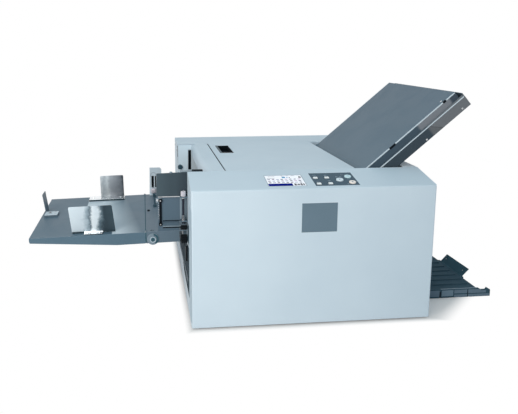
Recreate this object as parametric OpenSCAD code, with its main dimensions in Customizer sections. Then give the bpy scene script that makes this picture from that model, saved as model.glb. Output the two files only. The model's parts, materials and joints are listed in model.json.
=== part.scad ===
// Desk-top paper folding machine.
// Sheets lie on the feed table at the left, pass the feed head, are buckled in
// two fold plates between four rollers and leave on the stacker at the right.
// +X runs along the paper path, +Y to the back and +Z up, in millimetres.
// The origin is at the middle of the machine's outline, on the surface it stands on.

/* [Body] */
// Length of the body along the paper path
body_len = 500; // [480:5:540]
// Depth of the body from the front panel to the back panel
body_depth = 607; // [580:1:640]
// Height of the flat top above the standing surface
body_top = 306; // [300:1:320]
// Height of the front panel, where the sloping top begins
front_edge_h = 287; // [280:1:292]
// Depth of the front housing
front_depth = 100; // [96:1:106]
// Depth of the rear housing
rear_depth = 123; // [110:1:140]
// Sheet thickness of the housings
wall = 2; // [1.5:0.1:2.5]
// Bend radius along the edges of the front housing
edge_r = 4; // [2:0.5:6]
// Thickness of the two side frames
frame_t = 4; // [3:0.5:5]
// Height of the rubber feet
foot_h = 4; // [3:0.5:8]
// Radius of the rubber feet
foot_r = 13; // [9:0.5:18]
// Thickness of the base pan
pan_t = 3; // [2:0.5:4]
// Height of the pan's lip under the left opening
pan_lip = 50; // [40:1:56]

/* [Top] */
// Length of the open feed throat at the left end
throat_len = 38; // [34:1:44]
// Left edge of the hinged cover, from the body's left end
cover_left = 82; // [76:1:90]
// Length of the flat top to the right of the cover
top_right_len = 139; // [136:1:148]
// Depth of the cover's folded rim
cover_rim = 10; // [6:1:14]
// Length of the finger recess across the paper path
cup_len = 118; // [90:1:130]
// Width of the finger recess
cup_w = 34; // [28:1:40]
// Depth of the finger recess
cup_depth = 15; // [12:1:18]
// Radius of the cover's hinge pins
cover_pin_r = 3; // [2:0.25:3.5]

/* [Control panel] */
// Left edge of the touch screen, from the body's left end
screen_left = 155; // [140:1:160]
// Width of the touch screen
screen_w = 80; // [70:1:86]
// Height of the touch screen along the slope
screen_h = 58; // [50:1:60]
// Left edge of the key panel
keypad_left = 251.5; // [245:0.5:260]
// Width of the key panel
keypad_w = 91; // [86:1:100]
// Height of the key panel along the slope
keypad_h = 67; // [66:1:72]
// Width of a square key
key_w = 11; // [9:0.5:13]
// Radius of the start key
start_key_r = 8; // [6:0.5:9]
// Radius of the two smaller round keys
round_key_r = 7; // [5:0.5:8]
// Travel of a key
key_travel = 1.5; // [1:0.1:2]
// Width of the slate plate on the front panel
badge_w = 73; // [50:1:90]
// Height of the slate plate
badge_h = 60; // [40:1:70]

/* [Feed table] */
// Reach of the feed table from the body's left end
table_reach = 332; // [310:1:360]
// Position of the seam between table and table base
seam_x = 89; // [84:1:96]
// Rise of the table towards the body, in degrees
table_tilt = 1.5; // [0:0.1:2.5]
// Height of the table surface at the body's left end
table_z = 176; // [172:1:180]
// Room between the table and the near side frame
table_room_near = 13; // [12:0.5:18]
// Room between the table and the far side frame
table_room_far = 12; // [10:0.5:20]
// Sheet thickness of the table
table_t = 2; // [1.5:0.1:3]
// Depth of the table's folded sides at the seam
table_side = 25; // [20:1:25]
// Depth of the folded sides at the free end
table_side_end = 10.5; // [8:0.5:18]
// Radius of the table's hinge barrels
barrel_r = 2.4; // [2.2:0.1:3]
// Height of the side guides
guide_h = 58; // [40:1:60]
// Length of the near side guide
near_guide_len = 92; // [80:1:100]
// Length of the far side guide
far_guide_len = 60; // [50:1:80]
// Thickness of the side guides
guide_t = 1.5; // [1:0.1:2.5]
// Height of the tail stop
tail_h = 47; // [36:1:50]

/* [Feed head] */
// Length of the dark shield left of the body
shield_len = 65; // [60:1:68]
// Height of the folded head plate's ledge above the standing surface
ledge_z = 254; // [250:1:262]
// Radius of the gap adjusting rod
rod_r = 2.2; // [1.8:0.1:3]
// Radius of its knurled knob
rod_knob_r = 5.5; // [4.5:0.25:5.5]
// Radius of the feed drum
drum_r = 20; // [16:0.5:24]

/* [Fold rollers] */
// Distance between the centres of meshing rollers
roller_pitch = 36; // [34:0.5:38]
// Running gap between two rollers
roller_gap = 0.5; // [0.4:0.1:1]
// Radius of the roller shafts
shaft_r = 6; // [5:0.5:7]
// Teeth of each roller gear
gear_teeth = 24; // [20:2:30]
// Teeth of the motor pinion
pinion_teeth = 12; // [10:1:14]
// Face width of the gears
gear_w = 8; // [6:0.5:12]
// Radius of the exit rollers
exit_r = 11; // [9:0.5:13]

/* [Fold plates] */
// Slope of the first fold plate, in degrees
plate_slope = 40.4; // [39:0.1:42]
// Length of the first fold plate outside the body
plate_len = 263; // [240:1:280]
// Thickness of the first fold plate from face to back
plate_depth = 44; // [42:1:46]
// Depth of its lid
lid_depth = 19; // [17:0.5:21]
// Sheet thickness of the fold plates
sheet = 1.5; // [1.2:0.1:1.8]
// Height of the gap that the paper runs in
paper_gap = 5.5; // [5:0.1:6]
// Slope of the second fold plate, in degrees
plate2_slope = 12; // [11:0.5:13]
// Thickness of the second fold plate
plate2_t = 16; // [14:1:18]

/* [Stacker] */
// Reach of the stacker from the body's right end
stacker_reach = 192; // [180:1:215]
// Length of the stacker's ribbed bed
bed_len = 158; // [150:1:165]
// Height of the stacker's bed above the standing surface
bed_z = 21; // [17:1:24]
// Number of ribs on the bed
rib_count = 12; // [6:1:16]
// Height of the ribs
rib_h = 2; // [1:0.5:3]
// Width of the stop flap
flap_w = 112; // [90:1:140]
// Length of the stop flap along its slope
flap_len = 26; // [20:1:34]
// Lean of the stop flap from level, in degrees
flap_lean = 47; // [40:1:60]

/* [Fits] */
// Radial running clearance of shafts and pins
run_fit = 0.05; // [0.03:0.01:0.1]
// Gap between parts that move past each other
gap = 0.3; // [0.25:0.05:0.5]

/* [Hidden] */
$fn = 48;

housing_colour = [0.76, 0.83, 0.87];
slate = [0.38, 0.45, 0.5];
dark_slate = [0.27, 0.32, 0.36];
teal_slate = [0.22, 0.29, 0.33];
steel = [0.78, 0.79, 0.8];
black = [0.08, 0.08, 0.09];

// Outline and the body's front left corner
x_left = (table_reach * cos(table_tilt) - body_len - stacker_reach) / 2;
y_front = -body_depth / 2;

// Side frames, from the front face backwards
near_y = front_depth + frame_t;              // inner face of the front frame
far_y = body_depth - rear_depth - frame_t;   // inner face of the rear frame
floor_z = foot_h + pan_t;                    // top of the base pan
sheet_z = body_top - wall;                   // underside of the sheets on top
frame_top = sheet_z - gap;
slope_a = atan((body_top - front_edge_h) / front_depth);
path_y = (near_y + far_y) / 2;               // middle of the paper path

// Top cover and its hinge
cover_right = body_len - top_right_len;
hinge_x = cover_right - 5;
hinge_z = frame_top - cover_pin_r - 1;
pin_seat = 6;
notch_len = 5;
cup_x = cover_left + 15;
cup_y = far_y - 153;
cup_flange = 2;

// Feed table, in the table's own tilted plane
table_near = near_y + table_room_near;
table_far = far_y - table_room_far;
seam_gap = 0.9;
base_left = -seam_x + seam_gap;
table_pin_r = 1.2;
ear_w = 3;
near_guide_y = table_near + 20;
near_guide_x = -245;
far_guide_y = table_far - 12;
far_guide_x = -203;
guide_foot = 14;
guide_lean = 5;
tail_x = -table_reach + 6.5;
tail_y = path_y - 5;

// Rollers: the first nip and the centres of the four rollers
nip_x = cover_right - 106;
nip_z = 154;
nip_lean = 30;
roller_r = (roller_pitch - roller_gap) / 2;
roller_1 = [nip_x, nip_z] + roller_pitch / 2 * [-sin(nip_lean), cos(nip_lean)];
roller_2 = [nip_x, nip_z] - roller_pitch / 2 * [-sin(nip_lean), cos(nip_lean)];
turn_3 = -50;
turn_4 = -100;
roller_3 = roller_2 + roller_pitch * [cos(turn_3), sin(turn_3)];
roller_4 = roller_3 + roller_pitch * [cos(turn_4), sin(turn_4)];
centres = [roller_1, roller_2, roller_3, roller_4];
gear_m = roller_pitch / gear_teeth;          // gear module
gear_y = far_y + frame_t + 4;
pinion_turn = -8;
pinion_dist = gear_m * (gear_teeth + pinion_teeth) / 2;
pinion_at = roller_4 + pinion_dist * [cos(pinion_turn), sin(pinion_turn)];
exit_at = [body_len - 24, bed_z + 25];
drum_at = [20, table_z + drum_r + 3];
belt_y = gear_y + gear_w + 3;
belt_w = 8;
pulley_r = 9;
belt_t = 1.5;
belt_len = norm(exit_at - roller_4);
belt_turn = atan2(exit_at[1] - roller_4[1], exit_at[0] - roller_4[0]);
pinion_shaft_r = 2.5;
motor_r = 30;
motor_y = gear_y + gear_w + 20;
motor_len = 80;

// First fold plate: its own frame starts where its face leaves the top
plate_x = cover_right + 16.7;
plate_z = body_top - 10.4;
tongue = 158;
plate_near = near_y + gap;
plate_far = far_y - gap;
tray_wall = 2;
guide_n = lid_depth + 5;                     // depth of the upper paper guide
tray_over = 12;                              // how far the tray passes the lid
lower_n = guide_n + 2 * sheet + paper_gap;    // depth of the lower guide's underside
stop_s = 180;
bar_r = 6;

// Second fold plate, in its own sloping frame
plate2_x = 6;
plate2_z = foot_h + pan_lip + 9;
plate2_len = nip_x - 27;

// Stacker
stacker_near = front_depth;
stacker_far = far_y;
stacker_x = body_len + 1;
stacker_axis = [stacker_x + 4, bed_z - 2];
lug_t = 4;
flap_axis = [stacker_x + bed_len + 4, bed_z - 3];
flap_y = stacker_near + 78;
wall_t = 4;

// ---------- helpers ----------

// Moves the origin to the body's front left corner on the floor
module from_corner() translate([x_left, y_front, 0]) children();

// Box between two values on each axis
module span(x, y, z)
    translate([x[0], y[0], z[0]]) cube([x[1] - x[0], y[1] - y[0], z[1] - z[0]]);

// Rod along Y, X or Z between two values
module rod_y(x, z, r, y) translate([x, y[1], z]) rotate([90, 0, 0]) cylinder(r = r, h = y[1] - y[0]);
module rod_x(y, z, r, x) translate([x[0], y, z]) rotate([0, 90, 0]) cylinder(r = r, h = x[1] - x[0]);
module rod_z(x, y, r, z) translate([x, y, z[0]]) cylinder(r = r, h = z[1] - z[0]);

// Side outline in X and Z, drawn through a range of Y
module side(y) translate([0, y[1], 0]) rotate([90, 0, 0]) linear_extrude(y[1] - y[0]) children();

// End outline in Y and Z, drawn through a range of X
module along_x(x) translate([x[0], 0, 0]) rotate([90, 0, 90]) linear_extrude(x[1] - x[0]) children();

// Rectangle with round corners
module round_rect(w, d, r) {
    translate([r, 0]) square([w - 2 * r, d]);
    translate([0, r]) square([w, d - 2 * r]);
    for (x = [r, w - r], y = [r, d - r]) translate([x, y]) circle(r);
}

// Points of an arc
function arc(c, r, from, to, n = 8) =
    [for (i = [0:n]) let (a = from + (to - from) * i / n) c + r * [cos(a), sin(a)]];

// Frames of the sloping top, the table and the two fold plates
module on_slope() translate([0, 0, front_edge_h]) rotate([slope_a, 0, 0]) children();
module on_table() translate([0, 0, table_z]) rotate([0, -table_tilt, 0]) children();
module on_plate_1() translate([plate_x, 0, plate_z]) rotate([0, -plate_slope, 0]) children();
module on_belt() translate([roller_4[0], 0, roller_4[1]]) rotate([0, -belt_turn, 0]) children();
module on_plate_2() translate([plate2_x, 0, plate2_z]) rotate([0, -plate2_slope, 0]) children();

// Knob turned about Z: a fluted rim on a short neck
module knob(r, h, flutes) {
    difference() {
        rotate_extrude() polygon(concat([[0, 0], [r - 1, 0], [r, 1]], [[r, h - 1], [r - 1, h], [0, h]]));
        for (i = [0:flutes - 1]) rotate(i * 360 / flutes) translate([r + 0.35, 0, -1]) cylinder(r = 0.8, h = h + 2);
    }
}

// Spur gear outline with straight-sided teeth
module gear_outline(teeth, m, at) {
    pitch_r = m * teeth / 2;
    tip = pitch_r + 0.8 * m;
    root = pitch_r - 1.15 * m;
    step = 360 / teeth;
    polygon([for (i = [0:teeth - 1], k = [[root, -0.31], [tip, -0.11], [tip, 0.11], [root, 0.31]])
        k[0] * [cos(at + (i + k[1]) * step), sin(at + (i + k[1]) * step)]]);
}

// Angle of a tooth on the gear that meshes with a gear of the same size
function mesh_angle(line, at) = 2 * line + 180 - at + 180 / gear_teeth;

tooth_1 = 0;
line_12 = atan2(roller_2[1] - roller_1[1], roller_2[0] - roller_1[0]);
tooth_2 = mesh_angle(line_12, tooth_1);
tooth_3 = mesh_angle(turn_3, tooth_2);
tooth_4 = mesh_angle(turn_4, tooth_3);
teeth_at = [tooth_1, tooth_2, tooth_3, tooth_4];
tooth_p = pinion_turn + 180 - (tooth_4 - pinion_turn) * gear_teeth / pinion_teeth + 180 / pinion_teeth;

// ---------- body ----------

module base_pan() color(housing_colour) from_corner() {
    difference() {
        span([wall, body_len - wall], [wall, body_depth - wall], [foot_h, floor_z]);
        for (p = foot_places()) rod_z(p[0], p[1], foot_r / 3, [foot_h - 1, floor_z + 1]);
    }
    // lip under the left opening, folded up from the pan
    span([0, wall], [near_y, far_y], [foot_h, foot_h + pan_lip]);
    span([wall, 12], [near_y, far_y], [foot_h + pan_lip - wall, foot_h + pan_lip]);
    // two lugs that carry the stacker's hinge pins
    for (y = lug_spans()) {
        side(y) difference() {
            union() {
                translate([body_len - 20, foot_h]) square([stacker_axis[0] - body_len + 20, stacker_axis[1] - foot_h]);
                translate(stacker_axis) circle(5);
            }
            translate(stacker_axis) circle(lug_pin_r);
        }
    }
}

lug_pin_r = 2.5;
function lug_spans() = [[near_y + 2, near_y + 2 + lug_t], [far_y - 6 - lug_t, far_y - 6]];

function foot_places() = [for (x = [40, body_len - 40], y = [40, body_depth - 40]) [x, y]];

module feet() color(black) from_corner() for (p = foot_places()) translate([p[0], p[1], 0]) {
    rotate_extrude() polygon([[0, 0], [foot_r - 2, 0], [foot_r, foot_h], [0, foot_h]]);
    cylinder(r = foot_r / 3, h = floor_z + 1.5);
}

// End outline of the front housing, inset by t
module front_outline(t) {
    top_y = front_depth;
    a = 90 + slope_a;
    c = [edge_r, front_edge_h - edge_r / cos(slope_a) + edge_r * tan(slope_a)];
    polygon(concat(
        [[t, foot_h - (t > 0 ? 1 : 0)]],
        arc(c, max(edge_r - t, 0.5), 180, a, 6),
        [[top_y + (t > 0 ? 1 : 0), body_top - t / cos(slope_a)], [top_y + (t > 0 ? 1 : 0), foot_h - (t > 0 ? 1 : 0)]]
    ));
}

module front_housing() color(housing_colour) from_corner() difference() {
    intersection() {
        along_x([0, body_len]) front_outline(0);
        translate([0, 0, foot_h]) linear_extrude(body_top) round_front();
    }
    along_x([wall, body_len - wall]) front_outline(wall);
    on_slope() {
        span([screen_left, screen_left + screen_w], [screen_y, screen_y + screen_h], [-10, 10]);
        span([keypad_left, keypad_left + keypad_w], [keypad_y, keypad_y + keypad_h], [-10, 10]);
    }
    span([badge_x, badge_x + badge_w], [-1, badge_t], [badge_z, badge_z + badge_h]);
}

// Plan of the front housing, with its two front corners rounded
module round_front() {
    translate([edge_r, 0]) square([body_len - 2 * edge_r, front_depth]);
    translate([0, edge_r]) square([body_len, front_depth - edge_r]);
    for (x = [edge_r, body_len - edge_r]) translate([x, edge_r]) circle(edge_r);
}

screen_y = 14.5;
keypad_y = 11.5;
badge_x = 221;
badge_z = 197;
badge_t = 0.8;

vent_w = 90;
vent_h = 4;
vent_rows = 10;
vent_pitch = 12;
vent_z = 60;
inlet_x = 60;
inlet_z = 40;
inlet_w = 28;
inlet_h = 48;

module rear_housing() color(housing_colour) from_corner() difference() {
    y0 = far_y + frame_t;
    span([0, body_len], [y0, body_depth], [foot_h, body_top]);
    span([wall, body_len - wall], [y0 - 1, body_depth - wall], [foot_h - 1, body_top - wall]);
    // air slots, and the opening for the mains inlet and its switch
    for (i = [0:vent_rows - 1], x = [0.24, 0.6] * body_len) translate([x, 0, vent_z + i * vent_pitch])
        span([0, vent_w], [body_depth - wall - 1, body_depth + 1], [0, vent_h]);
    span([inlet_x, inlet_x + inlet_w], [body_depth - wall - 1, body_depth + 1], [inlet_z, inlet_z + inlet_h]);
}

// Both side frames share the bores of the shafts that run between them
module frame_bores(y) {
    for (c = concat(centres, [exit_at, drum_at])) rod_y(c[0], c[1], shaft_r + run_fit, y);
    rod_y(hinge_x, hinge_z, cover_pin_r, y);
}

module front_frame() color(housing_colour) from_corner() {
    difference() {
        span([0, body_len], [front_depth, near_y], [floor_z, frame_top]);
        frame_bores([front_depth - 1, near_y + 1]);
    }
    // flange that carries the two feed knobs
    difference() {
        span([0, flange_t], [near_y, knob_y + 13], [skew_z - 14, pressure_z + 10]);
        rod_x(knob_y, skew_z, skew_shaft_r, [-1, flange_t + 1]);
        rod_x(knob_y, pressure_z, pressure_shaft_r, [-1, flange_t + 1]);
    }
}

flange_t = 3;
skew_shaft_r = 3;
pressure_shaft_r = 2;

module rear_frame() color(housing_colour) from_corner() {
    difference() {
        span([0, body_len], [far_y, far_y + frame_t], [floor_z, frame_top]);
        frame_bores([far_y - 1, far_y + frame_t + 1]);
        // slot of the feed arm
        side([far_y - 1, far_y + frame_t + 1]) translate([29, body_top - 70]) round_rect(8, 54, 2);
    }
    // shoe that steadies the belt from below
    on_belt() side([far_y + frame_t, belt_y + belt_w])
        translate([belt_len / 2 - 10, -pulley_r - gap - belt_t - 6]) square([20, 6]);
}

// Bars that tie the frames; two carry the first fold plate and two the second
module tie_bars() color(steel) from_corner() {
    y = [near_y, far_y];
    for (p = [[14, 120], [nip_x - 30, 275], [body_len - 20, 120]]) rod_y(p[0], p[1], bar_r, y);
    on_plate_1() {
        rod_y(54, -plate_depth - bar_r - gap, bar_r, y);
        rod_y(-100, -lower_n - bar_r - gap, bar_r, y);
    }
    on_plate_2() for (x = [40, 190]) rod_y(x, -bar_r - gap, bar_r, y);
}

// Fixed strip between the feed throat and the cover, its left edge rolled down
module top_strip() color(housing_colour) from_corner() {
    roll = 14;
    x = [throat_len, cover_left - 1];
    side([near_y, far_y]) polygon(concat(
        [[x[1], body_top], [x[0] + roll, body_top]],
        arc([x[0] + roll, body_top - roll], roll, 90, 180),
        [[x[0], body_top - roll - 16], [x[0] + wall, body_top - roll - 16]],
        arc([x[0] + roll, body_top - roll], roll - wall, 180, 90),
        [[x[1] - wall, body_top - wall], [x[1] - wall, body_top - 12], [x[1], body_top - 12]]
    ));
}

module right_cover() color(housing_colour) from_corner() {
    low = bed_z + 44;
    flange_x = body_len - 30;
    side([near_y, far_y]) polygon([
        [flange_x, body_top], [body_len, body_top], [body_len, low], [body_len - 20, low + 6],
        [body_len - 20, low + 8], [body_len - wall, low + 2.6], [body_len - wall, sheet_z],
        [flange_x, sheet_z]
    ]);
}

// Hinged top cover: sheet with a folded rim, a finger recess and two hinge ears
module top_cover() color(housing_colour) from_corner() {
    x = [cover_left, cover_right];
    y = [front_depth + gap, far_y + frame_t - gap];
    rim_y = [near_y + 2, far_y - 2];
    rim_z = sheet_z - cover_rim;
    difference() {
        union() {
            span(x, y, [sheet_z, body_top]);
            span([x[0] + 2, x[1] - 2], rim_y, [rim_z, sheet_z]);
        }
        span([x[0] + 2 + wall, x[1] - 2 - wall], [rim_y[0] + wall, rim_y[1] - wall], [rim_z - 1, sheet_z]);
        span([cup_x, cup_x + cup_w], [cup_y, cup_y + cup_len], [sheet_z - 1, body_top + 1]);
        // notches at both ends, where the cover's edge swings down between the frames
        for (c = [[y[0] - 1, near_y + gap], [far_y - gap, y[1] + 1]])
            span([hinge_x - notch_len, x[1] + 1], c, [sheet_z - 1, body_top + 1]);
        // room for the hinge ears
        for (e = ear_spans()) span([hinge_x - 9, x[1]], [e[0] - 3, e[1] + 3], [rim_z - 1, sheet_z]);
    }
    for (e = ear_spans()) difference() {
        side(e) hinge_ear();
        rod_y(hinge_x, hinge_z, cover_pin_r + run_fit, [e[0] - 1, e[1] + 1]);
    }
}

function ear_spans() = [[near_y + 4, near_y + 4 + pin_seat], [far_y - 4 - pin_seat, far_y - 4]];

// Ear of the hinge: an eye joined to the sheet above it
module hinge_ear() {
    translate([hinge_x, hinge_z]) circle(cover_pin_r + 2);
    translate([hinge_x - cover_pin_r - 2, hinge_z]) square([2 * cover_pin_r + 4, sheet_z + 0.5 - hinge_z]);
}

module handle_cup() color(black) from_corner() difference() {
    union() {
        span([cup_x, cup_x + cup_w], [cup_y, cup_y + cup_len], [body_top - cup_depth, body_top - 0.5]);
        span([cup_x - cup_flange, cup_x + cup_w + cup_flange], [cup_y - cup_flange, cup_y + cup_len + cup_flange],
            [sheet_z - 1.5, sheet_z]);
    }
    translate([cup_x + 1.5, cup_y + 1.5, body_top - cup_depth + 1.5])
        linear_extrude(cup_depth) round_rect(cup_w - 3, cup_len - 3, 4);
}

module hinge_pins() color(steel) from_corner() {
    // top cover, fixed in the side frames
    rod_y(hinge_x, hinge_z, cover_pin_r, [front_depth, ear_spans()[0][1]]);
    rod_y(hinge_x, hinge_z, cover_pin_r, [ear_spans()[1][0], far_y + frame_t]);
    // feed table, fixed in the ears of the table base
    on_table() {
        rod_y(-seam_x, 0, table_pin_r, [base_ears()[0][0], table_ears()[0][1]]);
        rod_y(-seam_x, 0, table_pin_r, [table_ears()[1][0], base_ears()[1][1]]);
    }
    // stacker, fixed in the lugs of the base pan
    rod_y(stacker_axis[0], stacker_axis[1], lug_pin_r, [stacker_near, lug_spans()[0][1]]);
    rod_y(stacker_axis[0], stacker_axis[1], lug_pin_r, [lug_spans()[1][0], stacker_far]);
}

// ---------- control panel ----------

module screen_case() color(black) from_corner() on_slope() difference() {
    span([screen_left, screen_left + screen_w], [screen_y, screen_y + screen_h], [-14, 0]);
    span([screen_left + 2, screen_left + screen_w - 2], [screen_y + 2, screen_y + screen_h - 2], [-1.5, 1]);
}

module screen_glass() color([0.9, 0.93, 0.96]) from_corner() on_slope()
    span([screen_left + 2, screen_left + screen_w - 2], [screen_y + 2, screen_y + screen_h - 2], [-1.5, -0.2]);

// Centres of the keys on the panel, from its lower left corner
square_keys = [[9.5, 43], [33.5, 43], [9.5, 12.5], [33.5, 12.5]];
start_key = [56.5, 28];
blue_key = [78, 43];
cream_key = [79, 13];
panel_t = 2;
board_z = -10;

module key_panel() color(slate) from_corner() on_slope() translate([keypad_left, keypad_y, 0]) {
    difference() {
        span([0, keypad_w], [0, keypad_h], [-panel_t, 0]);
        for (k = square_keys) translate([k[0], k[1], -panel_t - 1])
            linear_extrude(panel_t + 2) square(key_w + 2 * gap, center = true);
        translate([start_key[0], start_key[1], -panel_t - 1]) cylinder(r = start_key_r + gap, h = panel_t + 2);
        for (k = [blue_key, cream_key]) translate([k[0], k[1], -panel_t - 1])
            cylinder(r = round_key_r + gap, h = panel_t + 2);
    }
    // circuit board on four posts
    span([1, keypad_w - 1], [1, keypad_h - 1], [board_z - 1.6, board_z]);
    for (x = [4, keypad_w - 4], y = [3, keypad_h - 3]) translate([x, y, board_z]) cylinder(r = 1.5, h = -board_z - panel_t);
}

// A key cap: a stem that rises through the panel and a collar that holds it in.
// The cap rests gap under the panel and stops short of the board when pressed.
module key_at(p) from_corner() on_slope() translate([keypad_left + p[0], keypad_y + p[1], 0]) {
    translate([0, 0, -panel_t - gap]) linear_extrude(panel_t + gap + 1.4) children(0);
    translate([0, 0, board_z + key_travel + gap])
        linear_extrude(-board_z - key_travel - panel_t - 2 * gap) children(1);
}

module square_key(i) color("white") key_at(square_keys[i]) {
    square(key_w, center = true);
    square(key_w + 2, center = true);
}
module round_key(p, r) key_at(p) {
    circle(r);
    circle(r + 1);
}
module key_square_1() square_key(0);
module key_square_2() square_key(1);
module key_square_3() square_key(2);
module key_square_4() square_key(3);
module key_start() color([0.8, 0.88, 0.92]) round_key(start_key, start_key_r);
module key_blue() color([0.62, 0.86, 0.92]) round_key(blue_key, round_key_r);
module key_cream() color([0.93, 0.89, 0.8]) round_key(cream_key, round_key_r);

module front_badge() color(slate) from_corner()
    span([badge_x, badge_x + badge_w], [0, badge_t], [badge_z, badge_z + badge_h]);

// Mains inlet with three blades in its socket, and the switch below it
module power_inlet() color(black) from_corner() {
    y = [body_depth - 26, body_depth - 0.5];
    difference() {
        span([inlet_x, inlet_x + inlet_w], y, [inlet_z, inlet_z + inlet_h]);
        span([inlet_x + 2.5, inlet_x + inlet_w - 2.5], [y[1] - 16, y[1] + 1], [inlet_z + 26, inlet_z + 44]);
        span([inlet_x + 3, inlet_x + inlet_w - 3], [y[1] - 12, y[1] + 1], [inlet_z + 4, inlet_z + 18]);
        rod_x(y[1] - 4, inlet_z + 11, 1.5, [inlet_x + 1, inlet_x + inlet_w - 1]);
    }
    for (p = [[8, 33], [14, 38], [20, 33]])
        span([inlet_x + p[0] - 1, inlet_x + p[0] + 1], [y[1] - 16, y[1] - 4], [inlet_z + p[1] - 2, inlet_z + p[1] + 2]);
}

module switch_rocker() color([0.15, 0.15, 0.16]) from_corner() {
    y = body_depth - 4.5;
    z = inlet_z + 11;
    along_x([inlet_x + 3 + gap, inlet_x + inlet_w - 3 - gap])
        polygon([[y - 2, z - 6], [y + 4, z - 6], [y + 2.6, z], [y + 2.6, z + 6], [y - 2, z + 6]]);
    rod_x(y, z, 1.5 - run_fit, [inlet_x + 1.2, inlet_x + inlet_w - 1.2]);
}

// ---------- feed table ----------

// Near or far ear of the table hinge, with its pin bore
module table_ear(y, r) rod_y(-seam_x, 0, r, y);

module table_base() color(slate) from_corner() difference() {
    cross_y = knob_y + 14;
    union() {
        on_table() {
            span([base_left, 0], [table_near, table_far], [-table_t, 0]);
            for (y = [table_near, table_far - table_t])
                side([y, y + table_t]) polygon([
                    [base_left, -table_t], [base_left, -table_side], [0, -table_side], [0, -table_t]
                ]);
            for (e = base_ears()) {
                table_ear(e, barrel_r);
                span([-seam_x, base_left + 1], e, [-barrel_r, -table_t]);
            }
            // strip and two plates that close the seam from inside
            span([-seam_x - 4, base_left + 4], [seam_y[0], seam_y[1]], [-table_t - gap - 1, -table_t - gap]);
            span([base_left + 1, base_left + 4], [seam_y[0], seam_y[1]], [-table_t - gap - 1, -table_t]);
            for (y = [table_near + table_t + gap, table_far - table_t - gap - 1]) {
                span([-seam_x - 5, base_left + 6], [y, y + 1], [-table_side, -barrel_r - 1]);
                span([base_left + 1, base_left + 6], [y - gap, y + 1 + gap], [-table_side, -barrel_r - 1]);
            }
            // cross plate that closes the base against the body
            span([-8, 0], [cross_y, table_far - table_t], [-table_side, -table_t]);
        }
        // arms that bolt to the inner faces of the frames
        span([-4, 24], [cross_y, cross_y + 8], [table_z - table_side, table_z - 7]);
        span([flange_t + 1, 24], [near_y, cross_y + 8], [table_z - table_side, table_z - 7]);
        span([-4, 24], [table_far - table_t, far_y], [table_z - table_side, table_z - 7]);
    }
    on_table() {
        for (e = table_ears()) table_ear([e[0] - gap, e[1] + gap], barrel_r + gap);
        for (e = base_ears()) table_ear([e[0] - 1, e[1] + 1], table_pin_r);
        rod_y(lock_x, lock_z, lock_shaft_r + run_fit, [table_near - 1, table_near + table_t + 1]);
        // slot where the feed arm passes
        span([-82, -74], [path_y + 6, path_y + 8], [-5, 1]);
        // the near side stops short of the feed knobs
        span([-17, 1], [table_near - 1, cross_y - 0.5], [-table_side - 1, -table_t]);
    }
}

lock_shaft_r = 4;
seam_y = [table_near + 3 * ear_w, table_far - 3 * ear_w];

function base_ears() = [[table_near, table_near + ear_w], [table_far - ear_w, table_far]];
function table_ears() = [
    [table_near + ear_w + gap, table_near + 2 * ear_w + gap],
    [table_far - 2 * ear_w - gap, table_far - ear_w - gap]
];
lock_x = -74;
lock_z = -16;

module feed_table() color(slate) from_corner() on_table() difference() {
    right = -seam_x - seam_gap;
    union() {
        span([-table_reach, right], [table_near, table_far], [-table_t, 0]);
        // folded sides, shallower towards the free end
        for (y = [table_near, table_far - table_t]) side([y, y + table_t]) polygon([
            [-table_reach, -table_t], [-table_reach + 1, -table_side_end], [-185, -table_side + 3],
            [-150, -table_side], [right, -table_side], [right, -table_t]
        ]);
        span([-table_reach, -table_reach + table_t], [table_near, table_far], [-8, -table_t]);
        for (e = table_ears()) {
            table_ear(e, barrel_r);
            span([right - 1, -seam_x], e, [-barrel_r, -table_t]);
        }
    }
    for (e = base_ears()) table_ear([e[0] - 1, e[1] + gap], barrel_r + gap);
    for (e = table_ears()) table_ear([e[0] - 1, e[1] + 1], table_pin_r + run_fit);
}

// Upright side guide on a foot that lies on the table. Its top stands lean further to the left.
module guide(x, y, len, lean, foot_x, foot_y) from_corner() on_table() {
    r = 3;
    low = gap + r;
    high = gap + guide_h - r;
    side([y, y + guide_t]) polygon(concat(
        arc([x + r, low], r, 180, 270, 4), arc([x + len - r, low], r, 270, 360, 4),
        arc([x + len - r - lean, high], r, 0, 90, 4), arc([x + r - lean, high], r, 90, 180, 4)
    ));
    span(foot_x, foot_y, [gap, gap + guide_t]);
}

module near_guide() color(steel) {
    guide(near_guide_x, near_guide_y, near_guide_len, guide_lean, [near_guide_x + 26, near_guide_x + 66],
        [near_guide_y - guide_foot, near_guide_y + 3]);
}

module far_guide() color(steel)
    guide(far_guide_x, far_guide_y, far_guide_len, 0, [far_guide_x - 29, far_guide_x + 62],
        [far_guide_y - 36, far_guide_y + 9]);

module tail_stop() color(slate) from_corner() on_table() {
    foot = [31, 35];
    // upright leaf, leaning back a little
    translate([tail_x, tail_y, gap]) rotate([0, -7, 0]) span([0, 1.5], [foot[1] - 4, foot[1] + 38], [0, tail_h]);
    span([tail_x, tail_x + foot[0]], [tail_y, tail_y + foot[1]], [gap, 4]);
    rod_z(tail_x + 12, tail_y + 19, 3, [4, 5.5]);
}

module lock_knob() color(dark_slate) from_corner() on_table() {
    y = table_near;
    rod_y(lock_x, lock_z, lock_shaft_r, [y - gap, y + table_t + 2]);
    translate([lock_x, y - gap, lock_z]) rotate([90, 0, 0]) difference() {
        union() {
            cylinder(r = 12.5, h = 1.5);
            cylinder(r = 7, h = 5);
        }
        translate([0, 0, 3]) cylinder(r = 4, h = 3);
    }
}

// ---------- feed head ----------

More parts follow.
